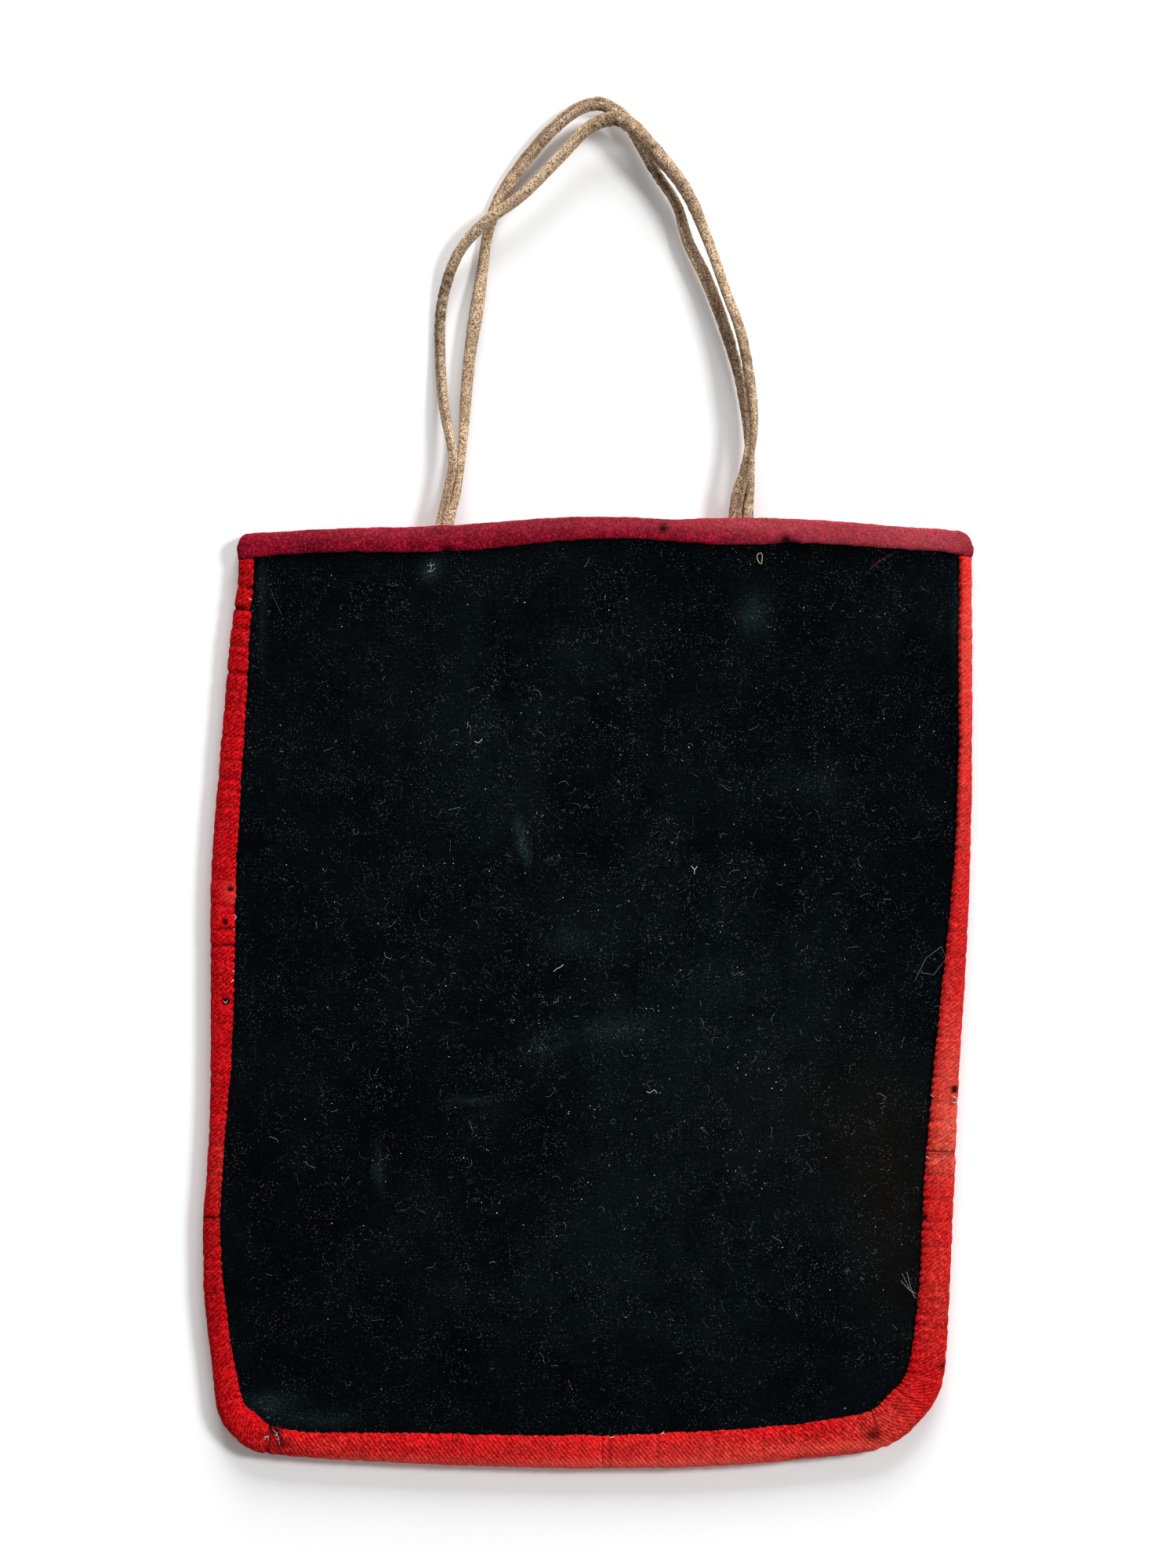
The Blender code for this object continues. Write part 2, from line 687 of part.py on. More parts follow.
def tucked_end(row, towards):
    """Points of a thong's end inside the bag, from the rim down to where it is sewn to the back."""
    x = row.across * HANDLE_SPAN
    radius = row.thick * HANDLE_THICKNESS / 2
    made = []
    for tuck in TUCK_ROWS:
        y = rim(x) - tuck.down * HANDLE_TUCK
        under = SEAM_UNDER + crown(share_across(x), share_up(y))
        z = mix(MOUTH_MIDDLE, under - GAP - radius, tuck.level)
        made.append((Vector((x + towards * tuck.down * radius, y, z)), radius))
    return made


def handle_route(rows):
    """Centres and radii along a thong, both its tucked ends included."""
    route = list(reversed(tucked_end(rows[0], -1)))
    for row in rows:
        x = row.across * HANDLE_SPAN
        radius = row.thick * HANDLE_THICKNESS / 2
        z = mix(radius, MOUTH_MIDDLE, row.lift)
        route.append((Vector((x, rim(x) + row.rise * HANDLE_RISE, z)), radius))
    return route + tucked_end(rows[-1], 1)


def along_route(route, count):
    """Points spaced along a smooth curve through the route's own points."""
    fine = []
    for k in range(len(route) - 1):
        before, start = route[max(k - 1, 0)], route[k]
        end, after = route[k + 1], route[min(k + 2, len(route) - 1)]
        for step in range(ROUTE_STEPS):
            t = step / ROUTE_STEPS
            place = 0.5 * (
                2 * start[0]
                + (end[0] - before[0]) * t
                + (2 * before[0] - 5 * start[0] + 4 * end[0] - after[0]) * t * t
                + (3 * start[0] - before[0] - 3 * end[0] + after[0]) * t**3
            )
            fine.append((place, mix(start[1], end[1], ease(t))))
    fine.append(route[-1])
    lengths = [0.0]
    for one, other in zip(fine, fine[1:]):
        lengths.append(lengths[-1] + (other[0] - one[0]).length)
    made, k = [], 0
    for number in range(count):
        wanted = lengths[-1] * number / (count - 1)
        while k < len(lengths) - 2 and lengths[k + 1] < wanted:
            k += 1
        share = (wanted - lengths[k]) / (lengths[k + 1] - lengths[k])
        place = fine[k][0].lerp(fine[k + 1][0], share)
        made.append((place, mix(fine[k][1], fine[k + 1][1], share)))
    return made


def handle(name, rows, group, finish):
    curve = bpy.data.curves.new(name, "CURVE")
    curve.dimensions = "3D"
    curve.bevel_depth = HANDLE_THICKNESS / 2
    curve.bevel_resolution = 2
    curve.use_fill_caps = True
    line = curve.splines.new("POLY")
    points = along_route(handle_route(rows), HANDLE_POINTS)
    line.points.add(len(points) - 1)
    for point, (place, radius) in zip(line.points, points):
        point.co = (*place, 1)
        point.radius = radius / (HANDLE_THICKNESS / 2)
    line.use_smooth = True
    return new_object(name, curve, group, finish)


def build():
    clear_scene()
    bag = collection("beaded_flat_bag")
    cutters = collection("cutters", shown=False)
    velvet = material("velvet", (0.004, 0.008, 0.011), 0.95)
    canvas = material("canvas", (0.42, 0.36, 0.26), 0.9)
    beads = material("beads", (0.36, 0.55, 0.66), 0.25)
    red_wool = material("red_wool", (0.52, 0.012, 0.008), 0.9)
    crimson_wool = material("crimson_wool", (0.36, 0.012, 0.035), 0.9)
    buckskin = material("buckskin", (0.40, 0.27, 0.15), 0.95)

    bead_inset = FRONT_BAND + GAP
    bead_top = MOUTH_BAND + GAP
    panel_top = MOUTH_THICKNESS + GAP
    flat_sheet("bead_field", 0.0, BEAD_THICKNESS, bead_inset, bead_top, bag, beads)
    flat_sheet(
        "front_panel", FRONT_UNDER, FRONT_THICKNESS, PANEL_INSET, panel_top, bag, canvas
    )
    back_panel(bag, velvet)
    strips = side_bindings(bag, red_wool)
    cut_moth_holes(strips, cutters)
    mouth_binding(bag, crimson_wool)
    handle("inner_handle", INNER_HANDLE_ROWS, bag, buckskin)
    handle("outer_handle", OUTER_HANDLE_ROWS, bag, buckskin)


build()
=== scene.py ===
# %% [markdown]
# A flat hand bag lies on a table on its beaded face, with its black velvet back up. Red wool twill
# binds its sides and bottom, a crimson band is folded over its mouth, and two rolled buckskin
# thongs are its handles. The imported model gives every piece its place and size, and each lesson
# below dresses one piece of it.

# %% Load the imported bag
import math
import random

import bmesh
import bpy
import numpy as np
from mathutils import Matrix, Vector, noise
from mathutils.bvhtree import BVHTree


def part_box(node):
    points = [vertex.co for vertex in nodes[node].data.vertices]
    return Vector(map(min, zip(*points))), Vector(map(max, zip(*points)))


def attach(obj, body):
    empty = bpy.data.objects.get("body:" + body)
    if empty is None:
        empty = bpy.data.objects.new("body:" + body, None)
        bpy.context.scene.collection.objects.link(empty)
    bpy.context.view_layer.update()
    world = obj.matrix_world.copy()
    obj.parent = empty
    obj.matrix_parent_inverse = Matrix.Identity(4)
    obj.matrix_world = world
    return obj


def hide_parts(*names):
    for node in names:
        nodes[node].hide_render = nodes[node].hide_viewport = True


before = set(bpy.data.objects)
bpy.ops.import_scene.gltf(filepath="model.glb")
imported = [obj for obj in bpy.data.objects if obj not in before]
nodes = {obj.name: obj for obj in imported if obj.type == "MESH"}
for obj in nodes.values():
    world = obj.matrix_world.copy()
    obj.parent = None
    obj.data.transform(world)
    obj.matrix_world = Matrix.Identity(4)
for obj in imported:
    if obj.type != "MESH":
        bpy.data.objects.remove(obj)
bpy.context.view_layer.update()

print("packed nodes:", ", ".join(sorted(nodes)))

# %% [markdown]
# The photograph looks straight down, so one pixel is the same small length everywhere on the bag.
# Stains, holes and threads are placed by their pixel in the photograph, and one helper turns such
# a pixel into metres. Writing the places this way keeps them easy to check against the picture.

# %% From pixels to metres
PIXEL = 0.00025
MIDDLE_PX = (749.5, 1267.0)
PHOTO_SIZE = (1500, 2000)


def at(px, py):
    """The place on the table under a pixel of the photograph."""
    return Vector(((px - MIDDLE_PX[0]) * PIXEL, (MIDDLE_PX[1] - py) * PIXEL))


# %% [markdown]
# A camera for a flat-lay hangs straight above the table. A long lens far away keeps the bag's
# edges parallel, and a short one close up would make its near parts look swollen.

# %% Camera
LENS = 100.0
SENSOR = 36.0
EDGE_LEVEL = 0.003

camera = bpy.data.objects.new("camera", bpy.data.cameras.new("camera"))
camera.data.lens = LENS
camera.data.sensor_width = SENSOR
middle = at(PHOTO_SIZE[0] / 2, PHOTO_SIZE[1] / 2)
distance = PHOTO_SIZE[1] * PIXEL * LENS / SENSOR
camera.location = (middle.x, middle.y, EDGE_LEVEL + distance)
camera.data.clip_end = 10.0
bpy.context.scene.collection.objects.link(camera)
bpy.context.scene.camera = camera
print(f"camera {distance:.2f} m above the bag")

# %% [markdown]
# Nodes make every finish here. A material could be wired by hand in the shader editor, and a
# script that adds one node a line reads like that graph. These few helpers add a node, feed it
# numbers or other nodes' sockets, and hand back the socket that the next node needs.

# %% Helpers that wire a material


def feed(tree, socket, value):
    if isinstance(value, bpy.types.NodeSocket):
        tree.links.new(value, socket)
    else:
        socket.default_value = value


def add(tree, kind, settings=None, **inputs):
    """Adds a shader node. An input's name has _ for each space."""
    made = tree.nodes.new("ShaderNode" + kind)
    for name, value in (settings or {}).items():
        setattr(made, name, value)
    for name, value in inputs.items():
        feed(tree, made.inputs[name.replace("_", " ")], value)
    return made


def calc(tree, operation, first, second=0.0, third=0.0, clamp=False):
    """One Math node's result."""
    made = add(tree, "Math", {"operation": operation, "use_clamp": clamp})
    for socket, value in zip(made.inputs, (first, second, third)):
        feed(tree, socket, value)
    return made.outputs[0]


def blend(tree, share, low, high, how="MIX"):
    """Two colours mixed by a share."""
    made = add(tree, "Mix", {"data_type": "RGBA", "blend_type": how})
    feed(tree, made.inputs["Factor"], share)
    feed(tree, made.inputs[6], low)
    feed(tree, made.inputs[7], high)
    return made.outputs[2]


def spread(tree, value, low, high, to_low=0.0, to_high=1.0):
    """A value's stretch from low to high, moved to another stretch and held inside it."""
    made = add(tree, "MapRange", {"interpolation_type": "SMOOTHSTEP"})
    for socket, number in zip(made.inputs, (value, low, high, to_low, to_high)):
        feed(tree, socket, number)
    return made.outputs[0]


def cloudy(tree, place, scale, detail=4.0, rough=0.55, distortion=0.0):
    """Soft noise of about 1/scale metres."""
    made = add(
        tree, "TexNoise", Vector=place, Scale=scale, Detail=detail,
        Roughness=rough, Distortion=distortion,
    )
    return made.outputs["Fac"]


def stored(tree, name):
    """A number that the mesh stores at each point."""
    return add(tree, "Attribute", {"attribute_name": name}).outputs["Fac"]


def flat_place(tree):
    return add(tree, "TexCoord").outputs["Object"]


def bumped(tree, height, size, strength=1.0, under=None):
    made = add(tree, "Bump", Height=height, Distance=size, Strength=strength)
    if under is not None:
        tree.links.new(under, made.inputs["Normal"])
    return made.outputs["Normal"]


def new_material(name):
    made = bpy.data.materials.new(name)
    made.use_nodes = True
    return made, made.node_tree, made.node_tree.nodes["Principled BSDF"]


def rgb(red, green, blue):
    """A screen colour of 0 to 255 a channel as the linear one that the shader wants."""
    linear = []
    for channel in (red, green, blue):
        share = channel / 255
        linear.append(share / 12.92 if share <= 0.04045 else ((share + 0.055) / 1.055) ** 2.4)
    return (*linear, 1.0)


print("white in linear light:", rgb(255, 255, 255))

# %% [markdown]
# Each new piece is laid on the solid that it stands for. A ray that is cast straight down finds
# the solid's skin at a place, as a finger would, so the cloth gets the solid's form without its
# coarse faces. Short helpers build meshes from rows of points, which is how a loft is made.

# %% Helpers that build pieces
UP = Vector((0, 0, 1))
HIGH = 0.1


def skin(name):
    """A solid's skin, ready for rays."""
    return BVHTree.FromObject(nodes[name], bpy.context.evaluated_depsgraph_get())


def smooth_step(share):
    share = np.clip(share, 0.0, 1.0)
    return share * share * (3 - 2 * share)


def new_piece(name, points, faces, material, stands_for=(), smooth=True):
    """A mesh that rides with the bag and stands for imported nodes."""
    mesh = bpy.data.meshes.new(name)
    mesh.from_pydata([tuple(p) for p in points], [], faces)
    mesh.materials.append(material)
    if smooth:
        mesh.shade_smooth()
    piece = bpy.data.objects.new(name, mesh)
    bpy.context.scene.collection.objects.link(piece)
    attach(piece, "root")
    if stands_for:
        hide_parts(*stands_for)
    return piece


def store(piece, name, values):
    """Keeps one number at each point, for the material to read."""
    made = piece.data.attributes.new(name, "FLOAT", "POINT")
    made.data.foreach_set("value", np.asarray(values, np.float32))


def loft_faces(rings, count, caps=True):
    """Quads between rings of count points, with a cap at both ends."""
    faces = []
    for ring in range(rings - 1):
        for k in range(count):
            n = (k + 1) % count
            a, b = ring * count, (ring + 1) * count
            faces.append((a + k, a + n, b + n, b + k))
    if caps:
        faces.append(tuple(range(count))[::-1])
        faces.append(tuple((rings - 1) * count + k for k in range(count)))
    return faces


def outwards(piece):
    """Turns a closed piece's faces to the outside."""
    shape = bmesh.new()
    shape.from_mesh(piece.data)
    bmesh.ops.recalc_face_normals(shape, faces=shape.faces)
    shape.to_mesh(piece.data)
    shape.free()


def cloth_area(piece):
    """The area of one face of a closed piece of cloth."""
    shape = bmesh.new()
    shape.from_mesh(piece.data)
    area = sum(face.calc_area() for face in shape.faces) / 2
    shape.free()
    return area


def wobble(x, y, scale, seed=0.0):
    """Smooth noise from -1 to 1 that changes over about 1/scale metres."""
    return noise.noise(Vector((x * scale, y * scale, seed)))


def coordinates(piece):
    """Every point of a piece as a row of numbers."""
    found = np.empty(3 * len(piece.data.vertices), np.float32)
    piece.data.vertices.foreach_get("co", found)
    return found.reshape(-1, 3).astype(float)


def spots(place, rows):
    """How deep each place lies in soft spots: a pixel, two reaches in pixels and a strength."""
    total = np.zeros(len(place))
    for px, py, reach_x, reach_y, strength in rows:
        centre = at(px, py)
        across = (place[:, 0] - centre.x) / (reach_x * PIXEL)
        up = (place[:, 1] - centre.y) / (reach_y * PIXEL)
        total += strength * np.exp(-0.5 * (across**2 + up**2))
    return total


# %% [markdown]
# Velvet is a dense, short pile woven in fine ribs. Black velvet is nearly lightless seen from
# above and glows faintly at a grazing angle. Worn places show the blue-green ground cloth, where
# the pile has been rubbed off. A pile of real hairs would need millions of strands, so the ribs
# and the pile are bump, the glow is the shader's sheen, and the rubbed places are stored in the
# mesh as soft spots that a noise breaks up.

# %% Velvet back: its shape
VELVET_STEP = 0.00125
VELVET_WALL = 0.0014
VELVET_DENT = 0.00045
WORN_PLACES = (
    (551, 728, 8, 9, 1.2), (962, 784, 14, 16, 0.6), (485, 1485, 4, 18, 1.0),
    (661, 1054, 3, 8, 0.9), (667, 1074, 4, 9, 1.1), (673, 1094, 3, 8, 1.0), (600, 1402, 18, 3, 0.7),
    (710, 1325, 30, 14, 0.30),
    (780, 1308, 34, 12, 0.4), (1040, 1010, 40, 16, 0.3), (720, 1200, 20, 14, 0.3),
    (345, 1786, 26, 12, 0.7), (410, 1808, 26, 7, 0.5), (336, 760, 3, 50, 0.7),
    (640, 870, 110, 80, 0.12), (900, 1300, 150, 150, 0.14), (600, 1000, 50, 80, 0.10),
    (820, 1650, 180, 100, 0.12), (1222, 800, 4, 70, 0.6),
)
BROWN_PLACES = ((1120, 1440, 60, 80, 0.5), (1140, 1580, 40, 90, 0.6), (1010, 1420, 70, 50, 0.3))


def laid_sheet(name, step, wall, material, dent=0.0):
    """A sheet of cloth laid where a packed sheet is, on a fine grid."""
    low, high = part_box(name)
    tree = skin(name)
    across = int((high[0] - low[0]) / step)
    along = int((high[1] - low[1]) / step)
    points, index = [], {}
    for i in range(across + 1):
        for j in range(along + 1):
            x = low[0] + (high[0] - low[0]) * i / across
            y = low[1] + (high[1] - low[1]) * j / along
            hit = tree.ray_cast(Vector((x, y, HIGH)), -UP)[0]
            if hit is not None:
                index[i, j] = len(points)
                points.append(Vector((x, y, hit.z - wall / 2)))
    faces = []
    for i, j in index:
        corners = ((i, j), (i + 1, j), (i + 1, j + 1), (i, j + 1))
        if all(corner in index for corner in corners):
            faces.append(tuple(index[corner] for corner in corners))
    piece = new_piece(name + "_cloth", points, faces, material, [name])
    shape = bmesh.new()
    shape.from_mesh(piece.data)
    loose = [vert for vert in shape.verts if not vert.link_faces]
    bmesh.ops.delete(shape, geom=loose, context="VERTS")
    edge_level = min(vert.co.z for vert in shape.verts)
    rise = max(vert.co.z for vert in shape.verts) - edge_level
    for vert in shape.verts:
        if vert.is_boundary:
            near = tree.find_nearest(Vector((vert.co.x, vert.co.y, vert.co.z)))[0]
            vert.co.x, vert.co.y = near.x, near.y
        elif dent:
            share = min(1.0, (vert.co.z - edge_level) / (0.7 * rise))
            soft = wobble(vert.co.x, vert.co.y, 28) + 0.5 * wobble(vert.co.x, vert.co.y, 70, 5.0)
            vert.co.z += dent * share * soft
    shape.to_mesh(piece.data)
    shape.free()
    wall_maker = piece.modifiers.new("wall", "SOLIDIFY")
    wall_maker.thickness = wall
    wall_maker.offset = 0.0
    return piece


# %% Velvet back: its finish
velvet, tree, shader = new_material("velvet")
place = flat_place(tree)
worn = stored(tree, "worn")
brown = stored(tree, "brown")
clouds = cloudy(tree, place, 45.0, 5.0, 0.6)
grain = cloudy(tree, place, 1500.0, 3.0, 0.7)
stretched = add(tree, "Mapping", Vector=place)
stretched.inputs["Scale"].default_value = (0.09, 1.0, 1.0)
ribs = cloudy(tree, stretched.outputs[0], 2300.0, 2.0, 0.6)
bare = calc(tree, "MULTIPLY", worn, spread(tree, clouds, 0.30, 0.70, 0.25, 1.3))
bare = calc(tree, "MULTIPLY", bare, spread(tree, grain, 0.38, 0.66, 0.10, 1.60))
pile = blend(tree, spread(tree, clouds, 0.3, 0.7), (0.0005, 0.0012, 0.0019, 1), (0.0018, 0.0031, 0.0041, 1))
pile = blend(tree, spread(tree, ribs, 0.35, 0.65), blend(tree, 0.4, pile, (0, 0, 0.0002, 1)), pile)
pile = blend(tree, calc(tree, "MULTIPLY", brown, 0.7, clamp=True), pile, (0.0060, 0.0048, 0.0034, 1))
colour = blend(tree, calc(tree, "MULTIPLY", bare, 0.5, clamp=True), pile, (0.022, 0.042, 0.042, 1))
dust = cloudy(tree, place, 2000.0, 2.0, 0.5)
dust_patches = cloudy(tree, place, 110.0, 3.0)
specks = calc(
    tree, "MULTIPLY", spread(tree, dust, 0.63, 0.71), spread(tree, dust_patches, 0.40, 0.62, 0.15, 1.0)
)
colour = blend(tree, calc(tree, "MULTIPLY", specks, 0.36), colour, (0.20, 0.22, 0.23, 1))
feed(tree, shader.inputs["Base Color"], colour)
shader.inputs["Roughness"].default_value = 0.95
shader.inputs["Specular IOR Level"].default_value = 0.015
shader.inputs["Sheen Weight"].default_value = 0.05
shader.inputs["Sheen Roughness"].default_value = 0.35
shader.inputs["Sheen Tint"].default_value = (0.45, 0.75, 0.85, 1)
normal = bumped(tree, ribs, 0.00014, 0.8)
normal = bumped(tree, grain, 0.00012, 0.8, normal)
feed(tree, shader.inputs["Normal"], normal)

back = laid_sheet("back_panel", VELVET_STEP, VELVET_WALL, velvet, VELVET_DENT)
store(back, "worn", spots(coordinates(back), WORN_PLACES))
store(back, "brown", spots(coordinates(back), BROWN_PLACES))

# %% [markdown]
# The front is the cloth that the beads are sewn to. Almost nothing of it shows: a strip between
# the beads and the binding, and the inside of the pocket. A plain canvas weave is two crossed
# waves, so that is all its finish needs.

# %% Front cloth
FRONT_STEP = 0.004
FRONT_WALL = 0.0012

canvas, tree, shader = new_material("canvas")
place = flat_place(tree)
yarns = [
    add(
        tree, "TexWave", {"bands_direction": direction},
        Vector=place, Scale=290.0, Distortion=0.8, Detail=2.0,
    ).outputs["Fac"]
    for direction in ("X", "Y")
]
weave = calc(tree, "MULTIPLY", yarns[0], yarns[1])
tone = cloudy(tree, place, 60.0)
colour = blend(tree, tone, rgb(168, 152, 120), rgb(196, 182, 150))
colour = blend(tree, calc(tree, "MULTIPLY", weave, 0.4), colour, rgb(120, 104, 78))
feed(tree, shader.inputs["Base Color"], colour)
shader.inputs["Roughness"].default_value = 0.9
feed(tree, shader.inputs["Normal"], bumped(tree, weave, 0.00015))

front = laid_sheet("front_panel", FRONT_STEP, FRONT_WALL, canvas)

# %% [markdown]
# The beaded face lies on the table. Seed beads are short cut lengths of glass tube, sewn on in
# rows, several to a stitch. Each could be its own object, but thousands of objects are slow, so
# one bead's points are worked out once and numpy copies them to every place in the rows.

# %% Bead field
BEAD_LENGTH = 0.00172
ROW_PITCH = 0.00212
BEAD_SIDES = 6
BEAD_RINGS = ((-0.47, 0.66), (0.0, 1.0), (0.47, 0.66))
BEAD_PARTS = ("bead_rows_bottom", "bead_rows_middle", "bead_rows_top")
random.seed(11)

beads, tree, shader = new_material("beads")
place = flat_place(tree)
tint = stored(tree, "tint")
colour = blend(tree, tint, rgb(118, 156, 182), rgb(166, 196, 212))
colour = blend(tree, spread(tree, cloudy(tree, place, 90.0), 0.5, 0.7, 0.0, 0.35), colour, rgb(120, 128, 120))
feed(tree, shader.inputs["Base Color"], colour)
feed(tree, shader.inputs["Roughness"], spread(tree, cloudy(tree, place, 700.0), 0.3, 0.7, 0.12, 0.35))
shader.inputs["Coat Weight"].default_value = 0.4
shader.inputs["Coat Roughness"].default_value = 0.1
feed(tree, shader.inputs["Normal"], bumped(tree, cloudy(tree, place, 3000.0), 0.00005, 0.4))

bead_low, bead_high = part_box("bead_field")
bead_radius = (bead_high[2] - bead_low[2]) / 2
unit_bead = np.array([
    (x, r * math.cos(2 * math.pi * k / BEAD_SIDES), r * math.sin(2 * math.pi * k / BEAD_SIDES))
    for x, r in BEAD_RINGS
    for k in range(BEAD_SIDES)
])
unit_faces = np.array(loft_faces(len(BEAD_RINGS), BEAD_SIDES, caps=False))
bead_skin = skin("bead_field")
places = []
rows = int((bead_high[1] - bead_low[1] - 2 * bead_radius) / ROW_PITCH)
for row in range(rows + 1):
    y = bead_low[1] + bead_radius + row * ROW_PITCH
    x = bead_low[0] + BEAD_LENGTH * random.uniform(0.5, 1.0)
    while x < bead_high[0]:
        ends = (x - BEAD_LENGTH / 2, x + BEAD_LENGTH / 2)
        sides = (y - 0.8 * bead_radius, y + 0.8 * bead_radius)
        inside = all(
            bead_skin.ray_cast(Vector((end, side, HIGH)), -UP)[0] for end in ends for side in sides
        )
        if inside:
            places.append((x, y, row))
        x += BEAD_LENGTH * random.uniform(0.98, 1.06)
print(f"bead field: {len(places)} beads in {rows + 1} rows")

for part, name in enumerate(BEAD_PARTS):
    first = part * (rows + 1) // len(BEAD_PARTS)
    last = (part + 1) * (rows + 1) // len(BEAD_PARTS)
    chosen = [p for p in places if first <= p[2] < last]
    points, faces, tints = [], [], []
    for x, y, _ in chosen:
        size = random.uniform(0.93, 1.0)
        turn = random.uniform(-0.06, 0.06)
        bead = unit_bead * (BEAD_LENGTH, bead_radius * size, bead_radius * size)
        bead[:, 1] += bead[:, 0] * turn
        faces.append(unit_faces + len(points) * len(unit_bead))
        points.append(bead + (x, y, bead_low[2] + bead_radius * size))
        tints.append(random.random())
    points, faces = np.concatenate(points), np.concatenate(faces)
    stands_for = ["bead_field"]
    piece = new_piece(name, points, faces.tolist(), beads, stands_for)
    store(piece, "tint", np.repeat(tints, len(unit_bead)))

# %% [markdown]
# The binding is a tape of scarlet wool twill, folded over the raw edges and sewn down with
# small stitches that pull scallops into its inner edge. It is a loft: a section is drawn once and
# carried along the bag's edge. Rays from outside find that edge, and rays from above find how far
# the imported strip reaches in, so the tape is as wide here as it is there.

# %% The bound edge
STRIPS = (
    "left_top_binding", "left_binding", "bottom_left_binding", "bottom_right_binding",
    "right_binding",
)
EDGE_STEP = 0.0006
EDGE_SLACK = 0.42
AIM = 0.045
OUTSIDE = 0.3
strip_skins = {name: skin(name) for name in STRIPS}
strip_low = min(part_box(name)[0][2] for name in STRIPS)
strip_high = max(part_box(name)[1][2] for name in STRIPS)
strip_middle = (strip_low + strip_high) / 2


def edge_hit(aim, angle):
    """The outermost point of the strips on a ray from outside towards a point inside the bag."""
    away = Vector((math.cos(angle), math.sin(angle), 0.0))
    start = Vector((*aim, strip_middle)) + away * OUTSIDE
    hits = [tree.ray_cast(start, -away, OUTSIDE) for tree in strip_skins.values()]
    hits = [(distance, place) for place, _, _, distance in hits if place is not None]
    return min(hits, key=lambda hit: hit[0])[1] if hits else None


def bound_edge():
    """Points along the bag's bound edge, from the mouth's left end to its right end."""
    low = [min(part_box(name)[0][k] for name in STRIPS) for k in range(2)]
    high = [max(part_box(name)[1][k] for name in STRIPS) for k in range(2)]
    left, right, bottom = low[0] + AIM, high[0] - AIM, low[1] + AIM
    side_steps = int((high[1] - bottom) / EDGE_STEP)
    base_steps = int((right - left) / EDGE_STEP)
    corner_steps = int(AIM * 1.6 / EDGE_STEP)
    aims = [((left, high[1] - k * EDGE_STEP), math.pi) for k in range(1, side_steps)]
    aims += [((left, bottom), math.pi * (1 + 0.5 * k / corner_steps)) for k in range(corner_steps)]
    aims += [((left + k * EDGE_STEP, bottom), 1.5 * math.pi) for k in range(base_steps)]
    aims += [((right, bottom), math.pi * (1.5 + 0.5 * k / corner_steps)) for k in range(corner_steps)]
    aims += [((right, bottom + k * EDGE_STEP), 0.0) for k in range(side_steps)]
    hits = [edge_hit(aim, angle) for aim, angle in aims]
    found = [hit for hit in hits if hit is not None]
    kept = [found[0]]
    for hit in found[1:]:
        if (hit - kept[-1]).length < 4 * EDGE_STEP:
            kept.append(hit)
    return kept


def even_steps(points, step):
    """The same line with its points a step apart."""
    lengths = [0.0]
    for one, other in zip(points, points[1:]):
        lengths.append(lengths[-1] + (other - one).length)
    count = int(lengths[-1] / step)
    wanted = np.linspace(0.0, lengths[-1], count + 1)
    columns = [np.interp(wanted, lengths, [p[k] for p in points]) for k in range(3)]
    return np.stack(columns, axis=1)


def steady_ends(values, reach):
    """Values whose first and last few repeat the ones further in, where a slanted end has none."""
    values = list(values)
    values[:reach] = [values[reach]] * reach
    values[-reach:] = [values[-reach - 1]] * reach
    return values


def softened(values, reach):
    """A running mean, with the ends repeated."""
    padded = np.concatenate([[values[0]] * reach, values, [values[-1]] * reach])
    return np.convolve(padded, np.ones(2 * reach + 1) / (2 * reach + 1), "valid")


edge = even_steps(bound_edge(), EDGE_STEP)
edge[:, 0] = softened(edge[:, 0], 2)
edge[:, 1] = softened(edge[:, 1], 2)
ways = np.gradient(edge[:, :2], axis=0)
ways[:, 0] = softened(ways[:, 0], 3)
ways[:, 1] = softened(ways[:, 1], 3)
ways /= np.linalg.norm(ways, axis=1)[:, None]
inwards = np.stack([-ways[:, 1], ways[:, 0]], axis=1)
print(f"bound edge: {len(edge) * EDGE_STEP * 1000:.0f} mm in {len(edge)} steps")


def reach_in(tree, place, way, looking):
    """How far the leg of a strip that faces the looker reaches in from the edge."""
    last = 0.0
    for k in range(4, 80):
        distance = k * 0.00025
        start = Vector((place[0] + way[0] * distance, place[1] + way[1] * distance, strip_middle))
        hit = tree.ray_cast(start - looking * HIGH, looking)[0]
        if hit is not None and (hit.z - strip_middle) * looking.z < 0:
            last = distance
    return last


def strip_of(place):
    """The strip that lies at a place on the edge."""
    point = Vector((place[0], place[1], strip_middle))
    return min(STRIPS, key=lambda name: strip_skins[name].find_nearest(point)[3])


owners = [strip_of(place) for place in edge]
print("steps of each strip:", {name: owners.count(name) for name in STRIPS})

# %% Red wool twill
TWILL_PITCH = 0.0015
red_wool, tree, shader = new_material("red_wool")
place = flat_place(tree)
along = stored(tree, "along")
across = stored(tree, "across")
drift = cloudy(tree, place, 700.0, 2.0)
line = calc(tree, "MULTIPLY_ADD", across, -0.80, along)
line = calc(tree, "MULTIPLY_ADD", drift, 0.0014, line)
ridge = calc(tree, "SINE", calc(tree, "MULTIPLY", line, 2 * math.pi / TWILL_PITCH))
pick = calc(tree, "MULTIPLY_ADD", along, 0.9, across)
pick = calc(tree, "MULTIPLY_ADD", drift, 0.0010, pick)
pick = calc(tree, "SINE", calc(tree, "MULTIPLY", pick, 2 * math.pi / (0.5 * TWILL_PITCH)))
twill = spread(tree, calc(tree, "MULTIPLY_ADD", pick, 0.5, ridge), -1.2, 1.2)
nap = cloudy(tree, place, 1500.0, 3.0, 0.75)
felt = cloudy(tree, place, 900.0, 3.0, 0.75)
